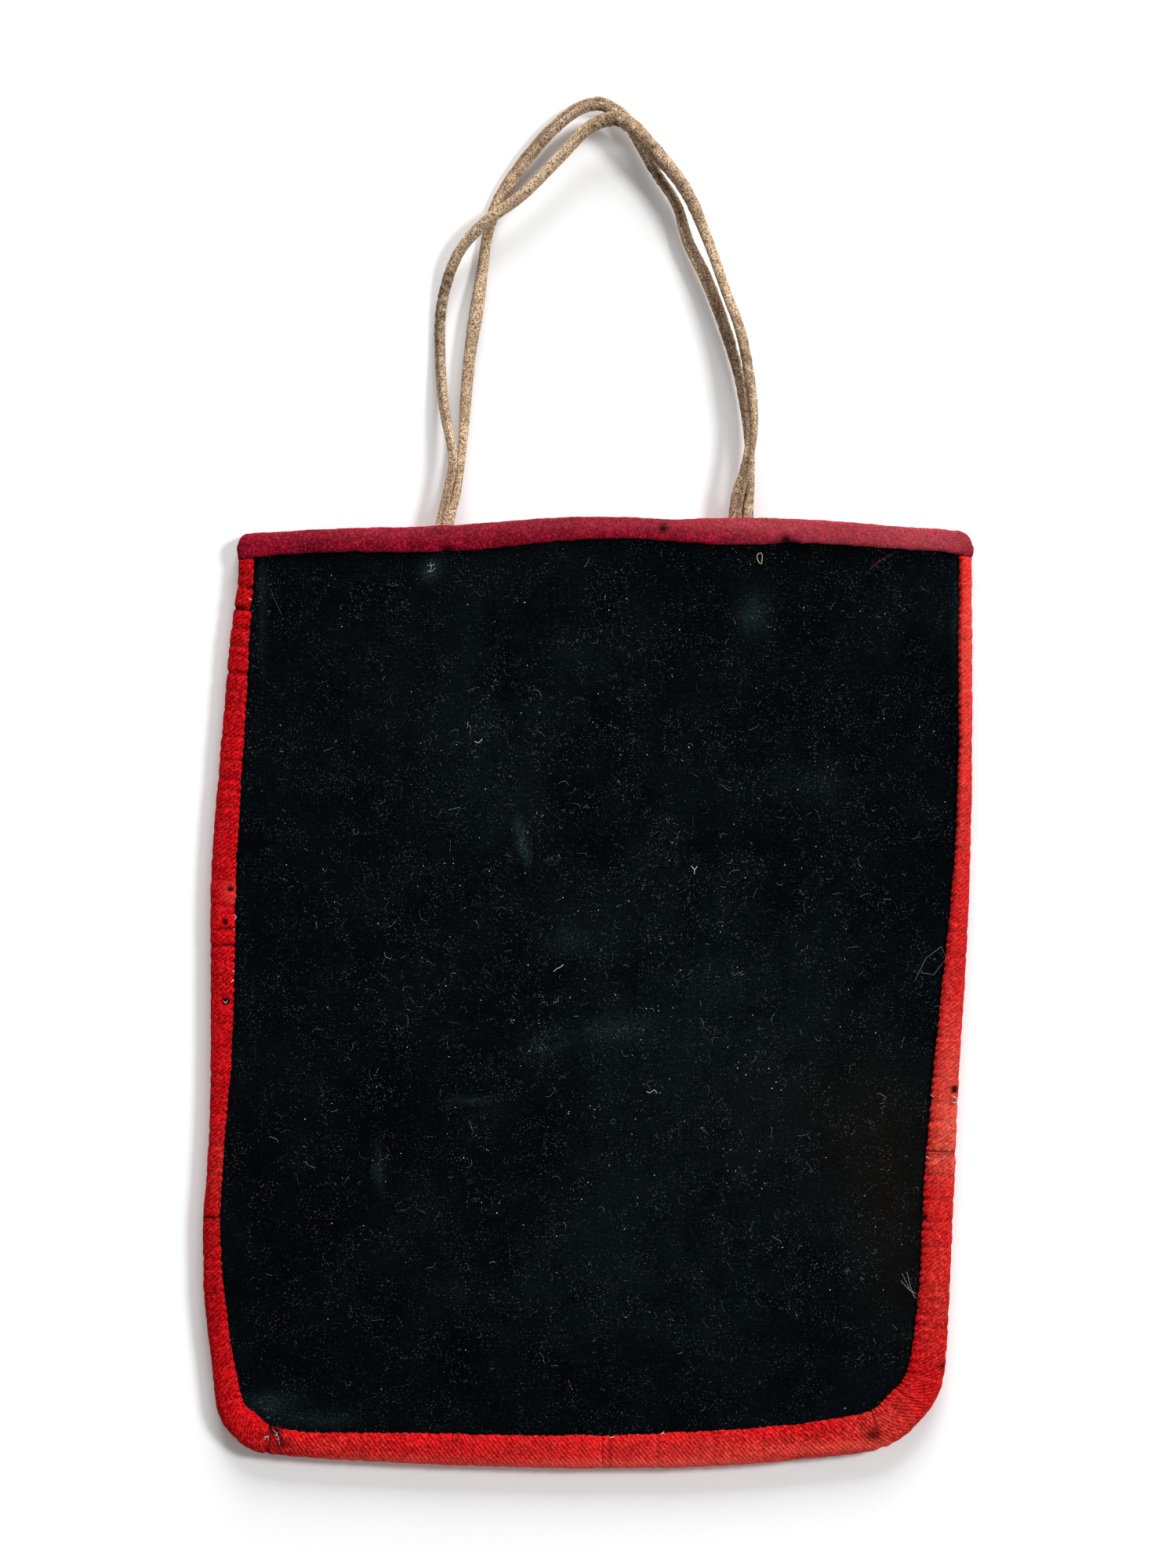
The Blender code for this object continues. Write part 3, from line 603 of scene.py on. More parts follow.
patches = cloudy(tree, place, 110.0, 5.0, 0.65)

# %% Red wool's colours
colour = blend(tree, spread(tree, patches, 0.3, 0.7), rgb(192, 2, 14), rgb(236, 10, 22))
deep = blend(tree, 0.62, colour, rgb(70, 0, 4))
colour = blend(tree, twill, deep, colour)
colour = blend(tree, spread(tree, felt, 0.36, 0.54), blend(tree, 0.55, colour, rgb(90, 0, 6)), colour)
colour = blend(tree, spread(tree, felt, 0.52, 0.68, 0.0, 0.7), colour, rgb(248, 34, 36))
colour = blend(tree, spread(tree, nap, 0.53, 0.68, 0.0, 0.6), colour, rgb(244, 66, 68))
worn = calc(tree, "MULTIPLY", stored(tree, "wear"), spread(tree, nap, 0.36, 0.62, 0.45, 1.0))
colour = blend(tree, worn, colour, rgb(255, 92, 80))
dusty = calc(tree, "MULTIPLY", stored(tree, "dust"), spread(tree, felt, 0.46, 0.68, 0.1, 0.8))
colour = blend(tree, dusty, colour, rgb(206, 128, 96))
# Darkens towards near black by the stored share: real stains, plus painted shade in the tape's creases and
# along its left strip.
colour = blend(tree, stored(tree, "grime_and_shade"), colour, rgb(22, 2, 4))
feed(tree, shader.inputs["Base Color"], colour)
shader.inputs["Roughness"].default_value = 0.95
shader.inputs["Specular IOR Level"].default_value = 0.02
shader.inputs["Sheen Weight"].default_value = 0.06
shader.inputs["Sheen Roughness"].default_value = 0.5
shader.inputs["Sheen Tint"].default_value = (1.0, 0.20, 0.12, 1)
normal = bumped(tree, twill, 0.00022, 1.0)
normal = bumped(tree, nap, 0.00025, 0.9, normal)
normal = bumped(tree, felt, 0.00030, 0.8, normal)
feed(tree, shader.inputs["Normal"], normal)
print("twill lines every", TWILL_PITCH * 1000, "mm")

# %% [markdown]
# A folded tape is round where it turns over the edge, and flat where it lies on the velvet. The
# section below goes once round the cloth: over the top leg, down the fold, back under the bag and
# in between its own two legs. Its top leg swells between the fold and the stitches. Each stitch
# dents its inner edge, and small pleats cross it where the tape is gathered.

# %% Pleats, holes, stains and painted shade of the tape
PLEAT_SPACING = (0.0030, 0.0085)
PLEAT_DEPTH = (0.00010, 0.00042)
PLEAT_WIDTH = 0.00075
KNOWN_PLEATS = (
    (300, 733, 0.0005), (300, 748, 0.0006), (300, 775, 0.0008), (298, 800, 0.0006),
    (295, 823, 0.0005), (290, 858, 0.0006), (286, 905, 0.0004), (278, 938, 0.0004),
    (270, 990, 0.0004), (290, 1145, 0.0003),
    (290, 1203, 0.0003), (345, 1822, 0.0007), (356, 1834, 0.0006), (1150, 1806, 0.0004),
    (1120, 1828, 0.0004), (1190, 1740, 0.0003),
)
HOLES = (
    (1215, 1388, 1.45, 0.9), (295, 1134, 0.9, 0.7), (288, 1176, 0.8, 0.7), (289, 1277, 1.2, 0.8),
    (1178, 1551, 0.6, 0.7), (1201, 1741, 0.5, 0.5), (352, 1824, 1.0, 0.6),
)
# Real stains, and painted shade: the dark line in the crease near the top of the left strip (300, 775), the
# pinched crease at the bottom-left corner (350 to 362, 1820 to 1840), and three long faint rows (296, 760;
# 270, 1250; 268, 1640) that darken the left strip, the side away from the key light.
STAINS_AND_SHADE = (
    (1113, 1828, 6, 6, 0.9), (300, 775, 14, 1.6, 0.45), (271, 1551, 14, 1.2, 0.7),
    (1200, 1470, 22, 1.3, 0.9), (778, 1848, 1.2, 20, 0.7), (350, 1820, 5, 8, 0.6),
    (1201, 1741, 3, 3, 0.9), (1178, 1551, 3, 3, 0.9), (1216, 1404, 6, 3, 0.5), (358, 1834, 4, 6, 0.5),
    (300, 728, 9, 14, 0.25), (292, 1183, 10, 1.4, 0.6), (294, 1204, 8, 1.2, 0.6),
    (362, 1840, 12, 4, 0.4), (268, 1640, 16, 150, 0.20), (296, 760, 24, 90, 0.14),
    (270, 1250, 20, 260, 0.08),
)
WORN_TAPE = (
    (700, 1869, 260, 4, 1.1), (950, 1864, 160, 4, 1.0), (450, 1861, 90, 4, 0.9), (1130, 1842, 50, 5, 0.7),
    (1236, 800, 9, 90, 0.70), (1228, 1000, 9, 120, 0.40), (1214, 1420, 18, 60, 0.42),
    (1206, 1300, 16, 120, 0.22), (1060, 1850, 90, 6, 0.5), (800, 1850, 200, 14, 0.20),
    (297, 1138, 8, 8, 0.5), (1195, 1560, 20, 120, 0.10), (1140, 1800, 30, 30, 0.15),
)
DUSTY_TAPE = (
    (1212, 1440, 20, 36, 0.75), (1204, 1480, 20, 10, 0.7), (1215, 1340, 14, 50, 0.35),
    (1130, 1820, 40, 20, 0.35), (1196, 1650, 16, 60, 0.25), (1000, 1846, 120, 14, 0.22),
    (400, 1846, 60, 12, 0.22), (284, 1500, 12, 40, 0.18),
)
random.seed(3)
runs = np.arange(len(edge)) * EDGE_STEP
pleats = np.zeros(len(edge))
where = 0.002
while where < runs[-1]:
    pleats += random.uniform(*PLEAT_DEPTH) * np.exp(-(((runs - where) / PLEAT_WIDTH) ** 2))
    where += random.uniform(*PLEAT_SPACING)
for px, py, depth in KNOWN_PLEATS:
    known = at(px, py)
    nearest = np.argmin((edge[:, 0] - known.x) ** 2 + (edge[:, 1] - known.y) ** 2)
    pleats += depth * np.exp(-(((runs - runs[nearest]) / PLEAT_WIDTH) ** 2))
print(f"tape pleats up to {1000 * pleats.max():.2f} mm deep")

# %% A section of the tape
TAPE = 0.0013
FOLD_REACH = 0.0034
STITCH_PITCH = 0.0025
STITCH_DEPTH = 0.00030
PUFF = 0.00016
TOP_POINTS = 14
FOLD_POINTS = 9
HOLE_SOFTNESS = 0.00035


def pulse(share, width):
    """A smooth bump that repeats once a unit."""
    offset = (share + 0.5) % 1.0 - 0.5
    return math.exp(-0.5 * (offset / width) ** 2)


def hole_depth(x, y):
    """How far a moth hole sinks the tape at a place, as a share of its wall."""
    deepest = 0.0
    for px, py, radius, depth in HOLES:
        centre = at(px, py)
        ragged = 1 + 0.35 * wobble(x, y, 1400, 4.0)
        inside = radius * 0.001 * ragged - math.hypot(x - centre.x, y - centre.y)
        deepest = max(deepest, depth * min(1.0, max(0.0, inside / HOLE_SOFTNESS + 0.5)))
    return deepest


def tape_section(k, width, under):
    """Points round the tape at one step of the edge: distance in from the edge, and level."""
    run, place = runs[k], edge[k]
    stitch = pulse(run / STITCH_PITCH + 0.3 * wobble(run, 0, 90), 0.17)
    soft = wobble(place[0], place[1], 95, 2.0)
    fine = wobble(place[0], place[1], 420, 7.0)
    ragged = wobble(place[0], place[1], 1100, 9.0)
    width -= STITCH_DEPTH * stitch + 0.4 * pleats[k]
    width += 0.00026 * soft + 0.00024 * fine + 0.00016 * ragged
    swell = 0.00024 + 0.00018 * soft
    fold_reach = min(FOLD_REACH, 0.45 * width)
    points = []
    for n in range(TOP_POINTS):
        share = n / TOP_POINTS
        distance = width - (width - fold_reach) * share
        drop = math.exp(-share * 8) * (0.40 + 0.45 * stitch) * TAPE
        level = strip_high - drop + swell * float(smooth_step(share / 0.4))
        level += PUFF * math.sin(math.pi * share)
        level -= pleats[k] * (1.0 - 0.45 * share)
        level += 0.00012 * wobble(run, distance, 650, 3.0)
        x, y = place[:2] + inwards[k] * distance
        level -= hole_depth(x, y) * TAPE
        points.append((distance, level))
    middle, half = (strip_high + strip_low) / 2, (strip_high - strip_low) / 2
    for n in range(FOLD_POINTS + 1):
        turn = math.pi * n / FOLD_POINTS
        reach = fold_reach * (1 - abs(math.sin(turn)) ** 0.75)
        reach -= (0.00016 * (soft + fine) - 0.6 * pleats[k]) * math.sin(turn)
        proud = (swell - 0.5 * pleats[k]) * max(0.0, math.cos(turn)) ** 2
        points.append((reach, middle + half * math.cos(turn) + proud))
    points += [(under * 0.6, strip_low), (under - TAPE / 3, strip_low)]
    points += [(under, strip_low + TAPE / 3), (under, strip_low + TAPE * 0.96)]
    points += [(TAPE * 1.05, strip_low + TAPE * 0.98), (TAPE * 1.05, strip_high - TAPE * 0.98)]
    points += [(width * 0.6, strip_high - TAPE * 0.98), (width - TAPE / 3, strip_high - TAPE * 0.98)]
    points += [(width, strip_high - TAPE * 0.86)]
    return points


# %% Binding strips
TUCK_STEPS = 7
TUCK_GAP = 0.00012
TUCK_SINK = 0.00045
LEG_LEVELS = (0.0015, 0.0059)
band_skin = skin("mouth_binding")
band_low, band_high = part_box("mouth_binding")


def tuck_distance(x, y, z):
    """How far up the tape's end may go before it meets the mouth band."""
    level = LEG_LEVELS[1] if z > strip_middle else LEG_LEVELS[0]
    inside = min(max(x, band_low[0] + 0.0006), band_high[0] - 0.0006)
    hit = band_skin.ray_cast(Vector((inside, y - 0.006, level)), Vector((0, 1, 0)))[0]
    if hit is None:
        return 0.0
    return min(0.006, max(0.0, hit.y - y - TUCK_GAP))


def binding_strip(name):
    """Lofts one strip of the tape along its stretch of the edge."""
    steps = [k for k, owner in enumerate(owners) if owner == name]
    tree = strip_skins[name]
    widths = steady_ends([reach_in(tree, edge[k], inwards[k], -UP) for k in steps], 7)
    unders = steady_ends([reach_in(tree, edge[k], inwards[k], UP) for k in steps], 7)
    widths, unders = softened(widths, 6), softened(unders, 6)
    rings, walks = [], []
    for order, k in enumerate(steps):
        slack = EDGE_SLACK * EDGE_STEP * ((order == len(steps) - 1) - (order == 0))
        base = edge[k, :2] + ways[k] * slack
        section = tape_section(k, widths[order], unders[order])
        rings.append([(*(base + inwards[k] * distance), level) for distance, level in section])
        legs = [math.dist(one, other) for one, other in zip(section, section[1:])]
        walks.append(np.concatenate([[0.0], np.cumsum(legs)]))
    rings = np.array(rings)
    ends = ([0] if steps[0] == 0 else []) + ([len(steps) - 1] if steps[-1] == len(edge) - 1 else [])
    for end in ends:
        lifts = np.array([tuck_distance(*point) for point in rings[end]])
        for order in range(TUCK_STEPS):
            share = 1 - order / TUCK_STEPS
            ring = rings[abs(end - order)]
            ring[:, 1] += lifts * share
            ring[ring[:, 2] > strip_middle, 2] -= TUCK_SINK * share * share
        print(f"{name}: its end goes up {1000 * lifts.min():.1f} to {1000 * lifts.max():.1f} mm")
    count = rings.shape[1]
    faces = loft_faces(len(steps), count)
    piece = new_piece(name + "_tape", rings.reshape(-1, 3), faces, red_wool, [name])
    outwards(piece)
    store(piece, "along", np.repeat(runs[steps], count))
    store(piece, "across", np.concatenate(walks))
    length = len(steps) * EDGE_STEP
    return piece, cloth_area(piece) / length, length


# %% Wear, dust, grime and painted shade of the tape
def mark_tape(piece):
    """Stores where the tape is worn, dusty or dark."""
    place = coordinates(piece)
    steps = [((edge[:, 0] - x) ** 2 + (edge[:, 1] - y) ** 2).argmin() for x, y in place[:, :2]]
    above = place[:, 2] > strip_middle
    dark = [hole_depth(x, y) for x, y in place[:, :2]]
    # Deeper pleats get painted shade: the tape is darker in its creases.
    crease_shade = np.clip(pleats[steps] / 0.0006 - 0.35, 0, 0.6)
    fuzz = np.array([wobble(x, y, 500, 9.0) for x, y in place[:, :2]])
    store(piece, "wear", np.clip(spots(place, WORN_TAPE) * (0.8 + 0.5 * fuzz), 0, 1))
    store(piece, "dust", np.clip(spots(place, DUSTY_TAPE) * above, 0, 0.8))
    # The dark share holds real stains and the moth holes, plus painted shade from the crease and left-strip
    # rows of the stain table and from the pleats.
    grime_and_shade = spots(place, STAINS_AND_SHADE) + np.array(dark) * 1.3 + crease_shade * (0.7 + fuzz)
    store(piece, "grime_and_shade", np.clip(grime_and_shade * above, 0, 0.97))


tapes = []
for name in STRIPS:
    piece, width, length = binding_strip(name)
    mark_tape(piece)
    tapes.append(piece)
    print(f"{name}: tape {1000 * width:.1f} mm wide and {1000 * length:.0f} mm long")

# %% [markdown]
# The mouth's band is one strip of crimson wool in plain weave, folded over the rim all the way
# round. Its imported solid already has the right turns, so the quickest way to fine cloth is to
# copy it, remesh it in small even faces, round it a little and let its surface swell and dip.

# %% Crimson wool
WEAVE_PITCH = 0.00060
crimson_wool, tree, shader = new_material("crimson_wool")
place = flat_place(tree)
apart = add(tree, "SeparateXYZ", Vector=place).outputs
down = calc(tree, "SUBTRACT", apart[1], apart[2])
drift = calc(tree, "MULTIPLY", cloudy(tree, place, 420.0, 2.0), 0.0012)
warp = calc(tree, "ADD", apart[0], drift)
warp = calc(tree, "SINE", calc(tree, "MULTIPLY", warp, 2 * math.pi / WEAVE_PITCH))
weft = calc(tree, "MULTIPLY_ADD", drift, -1.0, down)
weft = calc(tree, "SINE", calc(tree, "MULTIPLY", weft, 2 * math.pi / WEAVE_PITCH))
weave = calc(tree, "MULTIPLY_ADD", calc(tree, "MULTIPLY", warp, weft), 0.5, 0.5)
nap = cloudy(tree, place, 1700.0, 3.0, 0.75)
felt = cloudy(tree, place, 900.0, 3.0, 0.75)
patches = cloudy(tree, place, 90.0, 5.0, 0.6)
colour = blend(tree, spread(tree, patches, 0.3, 0.7), rgb(134, 4, 28), rgb(174, 12, 42))
colour = blend(tree, weave, blend(tree, 0.62, colour, rgb(58, 0, 12)), colour)
colour = blend(tree, spread(tree, felt, 0.38, 0.56), blend(tree, 0.55, colour, rgb(64, 0, 14)), colour)
colour = blend(tree, spread(tree, felt, 0.52, 0.68, 0.0, 0.6), colour, rgb(196, 30, 62))
colour = blend(tree, spread(tree, nap, 0.52, 0.68, 0.0, 0.6), colour, rgb(214, 66, 92))
rubbed = calc(tree, "MULTIPLY", stored(tree, "wear"), spread(tree, nap, 0.35, 0.65, 0.4, 1.0))
colour = blend(tree, rubbed, colour, rgb(206, 96, 104))
colour = blend(tree, stored(tree, "grime_and_shade"), colour, rgb(20, 2, 8))
feed(tree, shader.inputs["Base Color"], colour)
shader.inputs["Roughness"].default_value = 0.95
shader.inputs["Specular IOR Level"].default_value = 0.02
shader.inputs["Sheen Weight"].default_value = 0.06
shader.inputs["Sheen Roughness"].default_value = 0.5
shader.inputs["Sheen Tint"].default_value = (1.0, 0.25, 0.35, 1)
normal = bumped(tree, weave, 0.00022, 1.0)
normal = bumped(tree, nap, 0.00020, 0.9, normal)
normal = bumped(tree, felt, 0.00025, 0.7, normal)
feed(tree, shader.inputs["Normal"], normal)

# %% A fine copy of the band
BAND_VOXEL = 0.00058


def fine_copy(name, new_name, voxel, material):
    """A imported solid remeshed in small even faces."""
    mesh = nodes[name].data.copy()
    mesh.materials.clear()
    mesh.materials.append(material)
    piece = bpy.data.objects.new(new_name, mesh)
    bpy.context.scene.collection.objects.link(piece)
    fine = piece.modifiers.new("fine", "REMESH")
    fine.mode = "VOXEL"
    fine.voxel_size = voxel
    soft = piece.modifiers.new("soft", "SMOOTH")
    soft.iterations = 2
    bpy.context.view_layer.update()
    shaped = bpy.data.meshes.new_from_object(
        piece.evaluated_get(bpy.context.evaluated_depsgraph_get())
    )
    piece.modifiers.clear()
    piece.data = shaped
    shaped.name = new_name
    shaped.shade_smooth()
    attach(piece, "root")
    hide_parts(name)
    return piece


band = fine_copy("mouth_binding", "mouth_band", BAND_VOXEL, crimson_wool)
print(f"mouth band: {len(band.data.polygons)} faces")

# %% The band's form and marks
BAND_SWELL = 0.00018
BAND_PUFF = 0.00040
BAND_BIN = 0.002
CORNER_ROUND = (0.0032, 0.0044)
END_REACH = 0.002
END_PUFF = 0.0004
BAND_STAINS = (
    (572, 704, 6, 4, 1.0), (845, 677, 4, 4, 0.95), (1000, 690, 4, 3, 0.9), (1005, 697, 7, 4, 1.0),
    (1012, 699, 5, 3, 0.9), (990, 696, 8, 3, 0.4), (305, 705, 4, 14, 0.4), (455, 706, 6, 2, 0.5),
)
BAND_WORN = (
    (1100, 682, 90, 18, 0.45), (1200, 692, 40, 18, 0.35), (800, 670, 200, 6, 0.25),
    (480, 682, 120, 6, 0.15), (960, 672, 60, 8, 0.30),
)
BAND_LUMPS = ((648, 681, 9, 7, 1.0), (566, 676, 12, 6, 0.5), (940, 676, 14, 6, 0.6), (470, 684, 16, 6, 0.4))
place = coordinates(band)
normals = np.array([v.normal for v in band.data.vertices])
outer = place[:, 2] > strip_middle
bins = ((place[:, 0] - band_low[0]) / BAND_BIN).astype(int)
rim = np.array([place[bins == b, 1].max() for b in range(bins.max() + 1)])
hem = np.array([place[(bins == b) & outer, 1].min() for b in range(bins.max() + 1)])
middles = band_low[0] + (np.arange(len(rim)) + 0.5) * BAND_BIN
rim_here = np.interp(place[:, 0], middles, rim)
hem_here = np.interp(place[:, 0], middles, hem)
share = np.clip((rim_here - place[:, 1]) / (rim_here - hem_here), 0, 1)
swell = [wobble(x, y + z, 130, 4.0) + 0.8 * wobble(x, y - z, 480, 6.0) for x, y, z in place]
puff = BAND_PUFF * np.sin(math.pi * share) ** 0.7 * outer * (normals[:, 2] > 0.3)
puff = puff + 0.0005 * spots(place, BAND_LUMPS) * outer
puff = puff - 0.0007 * np.clip(spots(place, BAND_STAINS), 0, 1) * outer
formed = place + normals * (BAND_SWELL * np.array(swell) + puff)[:, None]
for side, end in ((-1, band_low[0]), (1, band_high[0])):
    round_here = CORNER_ROUND[side > 0]
    formed[:, 0] += side * END_PUFF * np.clip(1 - (end - formed[:, 0]) * side / END_REACH, 0, 1)
    across = np.clip((formed[:, 0] - end) * side + round_here, 0, round_here)
    drop = round_here - np.sqrt(round_here**2 - across**2)
    formed[:, 1] -= drop * (1 - share) ** 1.3
band.data.vertices.foreach_set("co", formed.astype(np.float32).ravel())
store(band, "wear", np.clip(spots(formed, BAND_WORN) * outer, 0, 0.8))
store(band, "grime_and_shade", np.clip(spots(formed, BAND_STAINS) * outer, 0, 0.97))
band_area = cloth_area(band)

# %% [markdown]
# Each handle is a thong of brain-tanned buckskin, rolled lengthwise into a cord and sewn shut.
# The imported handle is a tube, and the rings of its mesh still show its route: points in one ring
# are joined by short edges, and rings by long ones. Those centres guide a finer loft, which gets
# the rolled edge that winds along the thong, its wrinkles and its flattened stretches.

# %% Thong routes
SHORT_EDGE = 0.003


def ring_groups(shape):
    """The points of each ring of a tube, with the rings that each one touches."""
    group, groups = {}, []
    for vert in shape.verts:
        if vert in group:
            continue
        found, waiting = [], [vert]
        group[vert] = len(groups)
        while waiting:
            one = waiting.pop()
            found.append(one)
            for side in one.link_edges:
                other = side.other_vert(one)
                if other not in group and side.calc_length() < SHORT_EDGE:
                    group[other] = len(groups)
                    waiting.append(other)
        groups.append(found)
    links = [set() for _ in groups]
    for side in shape.edges:
        one, other = (group[vert] for vert in side.verts)
        if one != other:
            links[one].add(other)
            links[other].add(one)
    return groups, links


def ring_centres(name):
    """Centre and radius of each ring of a tube, from its left end to its right end."""
    shape = bmesh.new()
    shape.from_mesh(nodes[name].data)
    bmesh.ops.remove_doubles(shape, verts=shape.verts, dist=1e-6)
    groups, links = ring_groups(shape)
    centres = [sum((v.co for v in found), Vector()) / len(found) for found in groups]
    radii = [sum((v.co - c).length for v in f) / len(f) for f, c in zip(groups, centres)]
    ends = [k for k, near in enumerate(links) if len(near) == 1]
    order = [min(ends, key=lambda k: centres[k].x)]
    while len(order) < len(groups):
        ahead = [k for k in links[order[-1]] if k not in order]
        if not ahead:
            break
        order.append(ahead[0])
    shape.free()
    return [centres[k] for k in order], [radii[k] for k in order]


routes = {name: ring_centres(name) for name in ("outer_handle", "inner_handle")}
for name, (centres, radii) in routes.items():
    print(f"{name}: {len(centres)} rings, radius {1000 * min(radii):.2f} to {1000 * max(radii):.2f} mm")

# %% A smooth route
THONG_STEP = 0.0005
NUDGES = {
    "inner_handle": ((934, 640, 1, 40),),
    "outer_handle": ((581, 640, -3, 45), (580, 672, -6, 22), (962, 650, -6, 40), (960, 600, -2, 25)),
}
NARROWS = (
    (565, 655, 30, 50, 0.16), (575, 590, 20, 40, 0.12), (960, 640, 12, 50, 0.14), (935, 668, 12, 16, 0.12),
)


def smooth_route(name):
    """Points a step apart on a smooth curve through the ring centres, each with its radius."""
    centres, radii = routes[name]
    fine, sizes = [], []
    for k in range(len(centres) - 1):
        a, b = centres[max(k - 1, 0)], centres[k]
        c, d = centres[k + 1], centres[min(k + 2, len(centres) - 1)]
        for t in np.arange(0, 1, 0.1):
            bend = (2 * a - 5 * b + 4 * c - d) * t**2 + (3 * b - a - 3 * c + d) * t**3
            fine.append(0.5 * (2 * b + (c - a) * t + bend))
            sizes.append(radii[k] + (radii[k + 1] - radii[k]) * t)
    fine, sizes = np.array(fine + [centres[-1]]), np.array(sizes + [radii[-1]])
    sizes *= 1 - spots(fine, NARROWS)
    for px, py, shift, reach in NUDGES[name]:
        fine[:, 0] += shift * PIXEL * spots(fine, ((px, py, reach, reach, 1.0),))
    lengths = np.concatenate([[0], np.cumsum(np.linalg.norm(np.diff(fine, axis=0), axis=1))])
    run = np.linspace(0, lengths[-1], int(lengths[-1] / THONG_STEP) + 1)
    route = np.stack([np.interp(run, lengths, fine[:, k]) for k in range(3)], axis=1)
    return route, np.interp(run, lengths, sizes), run


# %% Buckskin
buckskin, tree, shader = new_material("buckskin")
place = flat_place(tree)
clouds = cloudy(tree, place, 160.0, 5.0, 0.6)
fuzz = cloudy(tree, place, 2400.0, 3.0, 0.7)
pits = cloudy(tree, place, 1100.0, 4.0, 0.7)
scales = add(tree, "TexVoronoi", {"feature": "F1"}, Vector=place, Scale=2100.0).outputs["Distance"]
colour = blend(tree, spread(tree, clouds, 0.3, 0.7), rgb(200, 166, 132), rgb(248, 218, 184))
colour = blend(tree, spread(tree, scales, 0.30, 0.75, 0.0, 0.9), colour, rgb(112, 82, 58))
colour = blend(tree, spread(tree, pits, 0.47, 0.36, 0.0, 0.85), colour, rgb(78, 56, 38))
colour = blend(tree, calc(tree, "MULTIPLY", spread(tree, fuzz, 0.52, 0.70), 0.6), colour, rgb(232, 214, 188))
# Dirt, and painted shade on the outer thong's inner side, darken the skin most in its pits.
dirt_and_shade_mask = calc(tree, "MULTIPLY", stored(tree, "grime_and_shade"), spread(tree, pits, 0.36, 0.60, 0.25, 1.0))
colour = blend(tree, dirt_and_shade_mask, colour, rgb(62, 44, 30))
# The groove of the rolled edge is painted darker: painted shade in the crease.
colour = blend(tree, calc(tree, "MULTIPLY", stored(tree, "seam_shade"), 0.5), colour, rgb(78, 56, 40))
feed(tree, shader.inputs["Base Color"], colour)
shader.inputs["Roughness"].default_value = 0.96
shader.inputs["Specular IOR Level"].default_value = 0.08
shader.inputs["Sheen Weight"].default_value = 0.12
shader.inputs["Sheen Roughness"].default_value = 0.6
shader.inputs["Sheen Tint"].default_value = (1.0, 0.85, 0.65, 1)
normal = bumped(tree, scales, 0.00030, -0.9)
normal = bumped(tree, pits, 0.00040, 0.9, normal)
normal = bumped(tree, fuzz, 0.00018, 0.9, normal)
feed(tree, shader.inputs["Normal"], normal)

# %% Rolled thongs
THONG_SIDES = 26
ROLL_LIP = 0.20
MOUTH_LEVEL = 0.150
WRAP_PITCH = 0.0024
THONG_DIRT_AND_SHADE = 1.1
# Dirt on the thongs, and painted shade: the outer thong's rows at 765, 133; 836, 215 and 846, 228 darken its
# inner side at the apex and at the top of its right leg, where shade falls.
THONG_GRIME_AND_SHADE = {
    "inner_handle": (
        (935, 640, 8, 18, 0.45), (946, 598, 8, 12, 0.75), (790, 150, 46, 12, 0.8), (764, 148, 14, 8, 0.6),
        (574, 330, 8, 30, 0.6), (566, 390, 6, 30, 0.55), (560, 440, 6, 50, 0.6), (566, 360, 5, 10, 0.7),
        (830, 195, 24, 24, 0.7), (880, 255, 22, 40, 0.6), (951, 440, 8, 40, 0.5), (946, 415, 6, 8, 0.8),
        (640, 262, 30, 12, 0.35), (600, 290, 20, 20, 0.45), (575, 650, 10, 16, 0.3), (955, 520, 10, 60, 0.3),
    ),
    "outer_handle": (
        (765, 133, 10, 8, 0.8), (720, 150, 40, 16, 0.4), (680, 190, 26, 24, 0.5), (625, 285, 8, 10, 0.9),
        (600, 440, 6, 60, 0.25), (846, 228, 14, 20, 0.55), (836, 215, 10, 14, 0.5), (914, 405, 10, 34, 0.5),
        (930, 450, 8, 34, 0.6), (944, 500, 6, 34, 0.6), (584, 640, 6, 30, 0.35), (955, 640, 3, 30, 0.6),
    ),
}


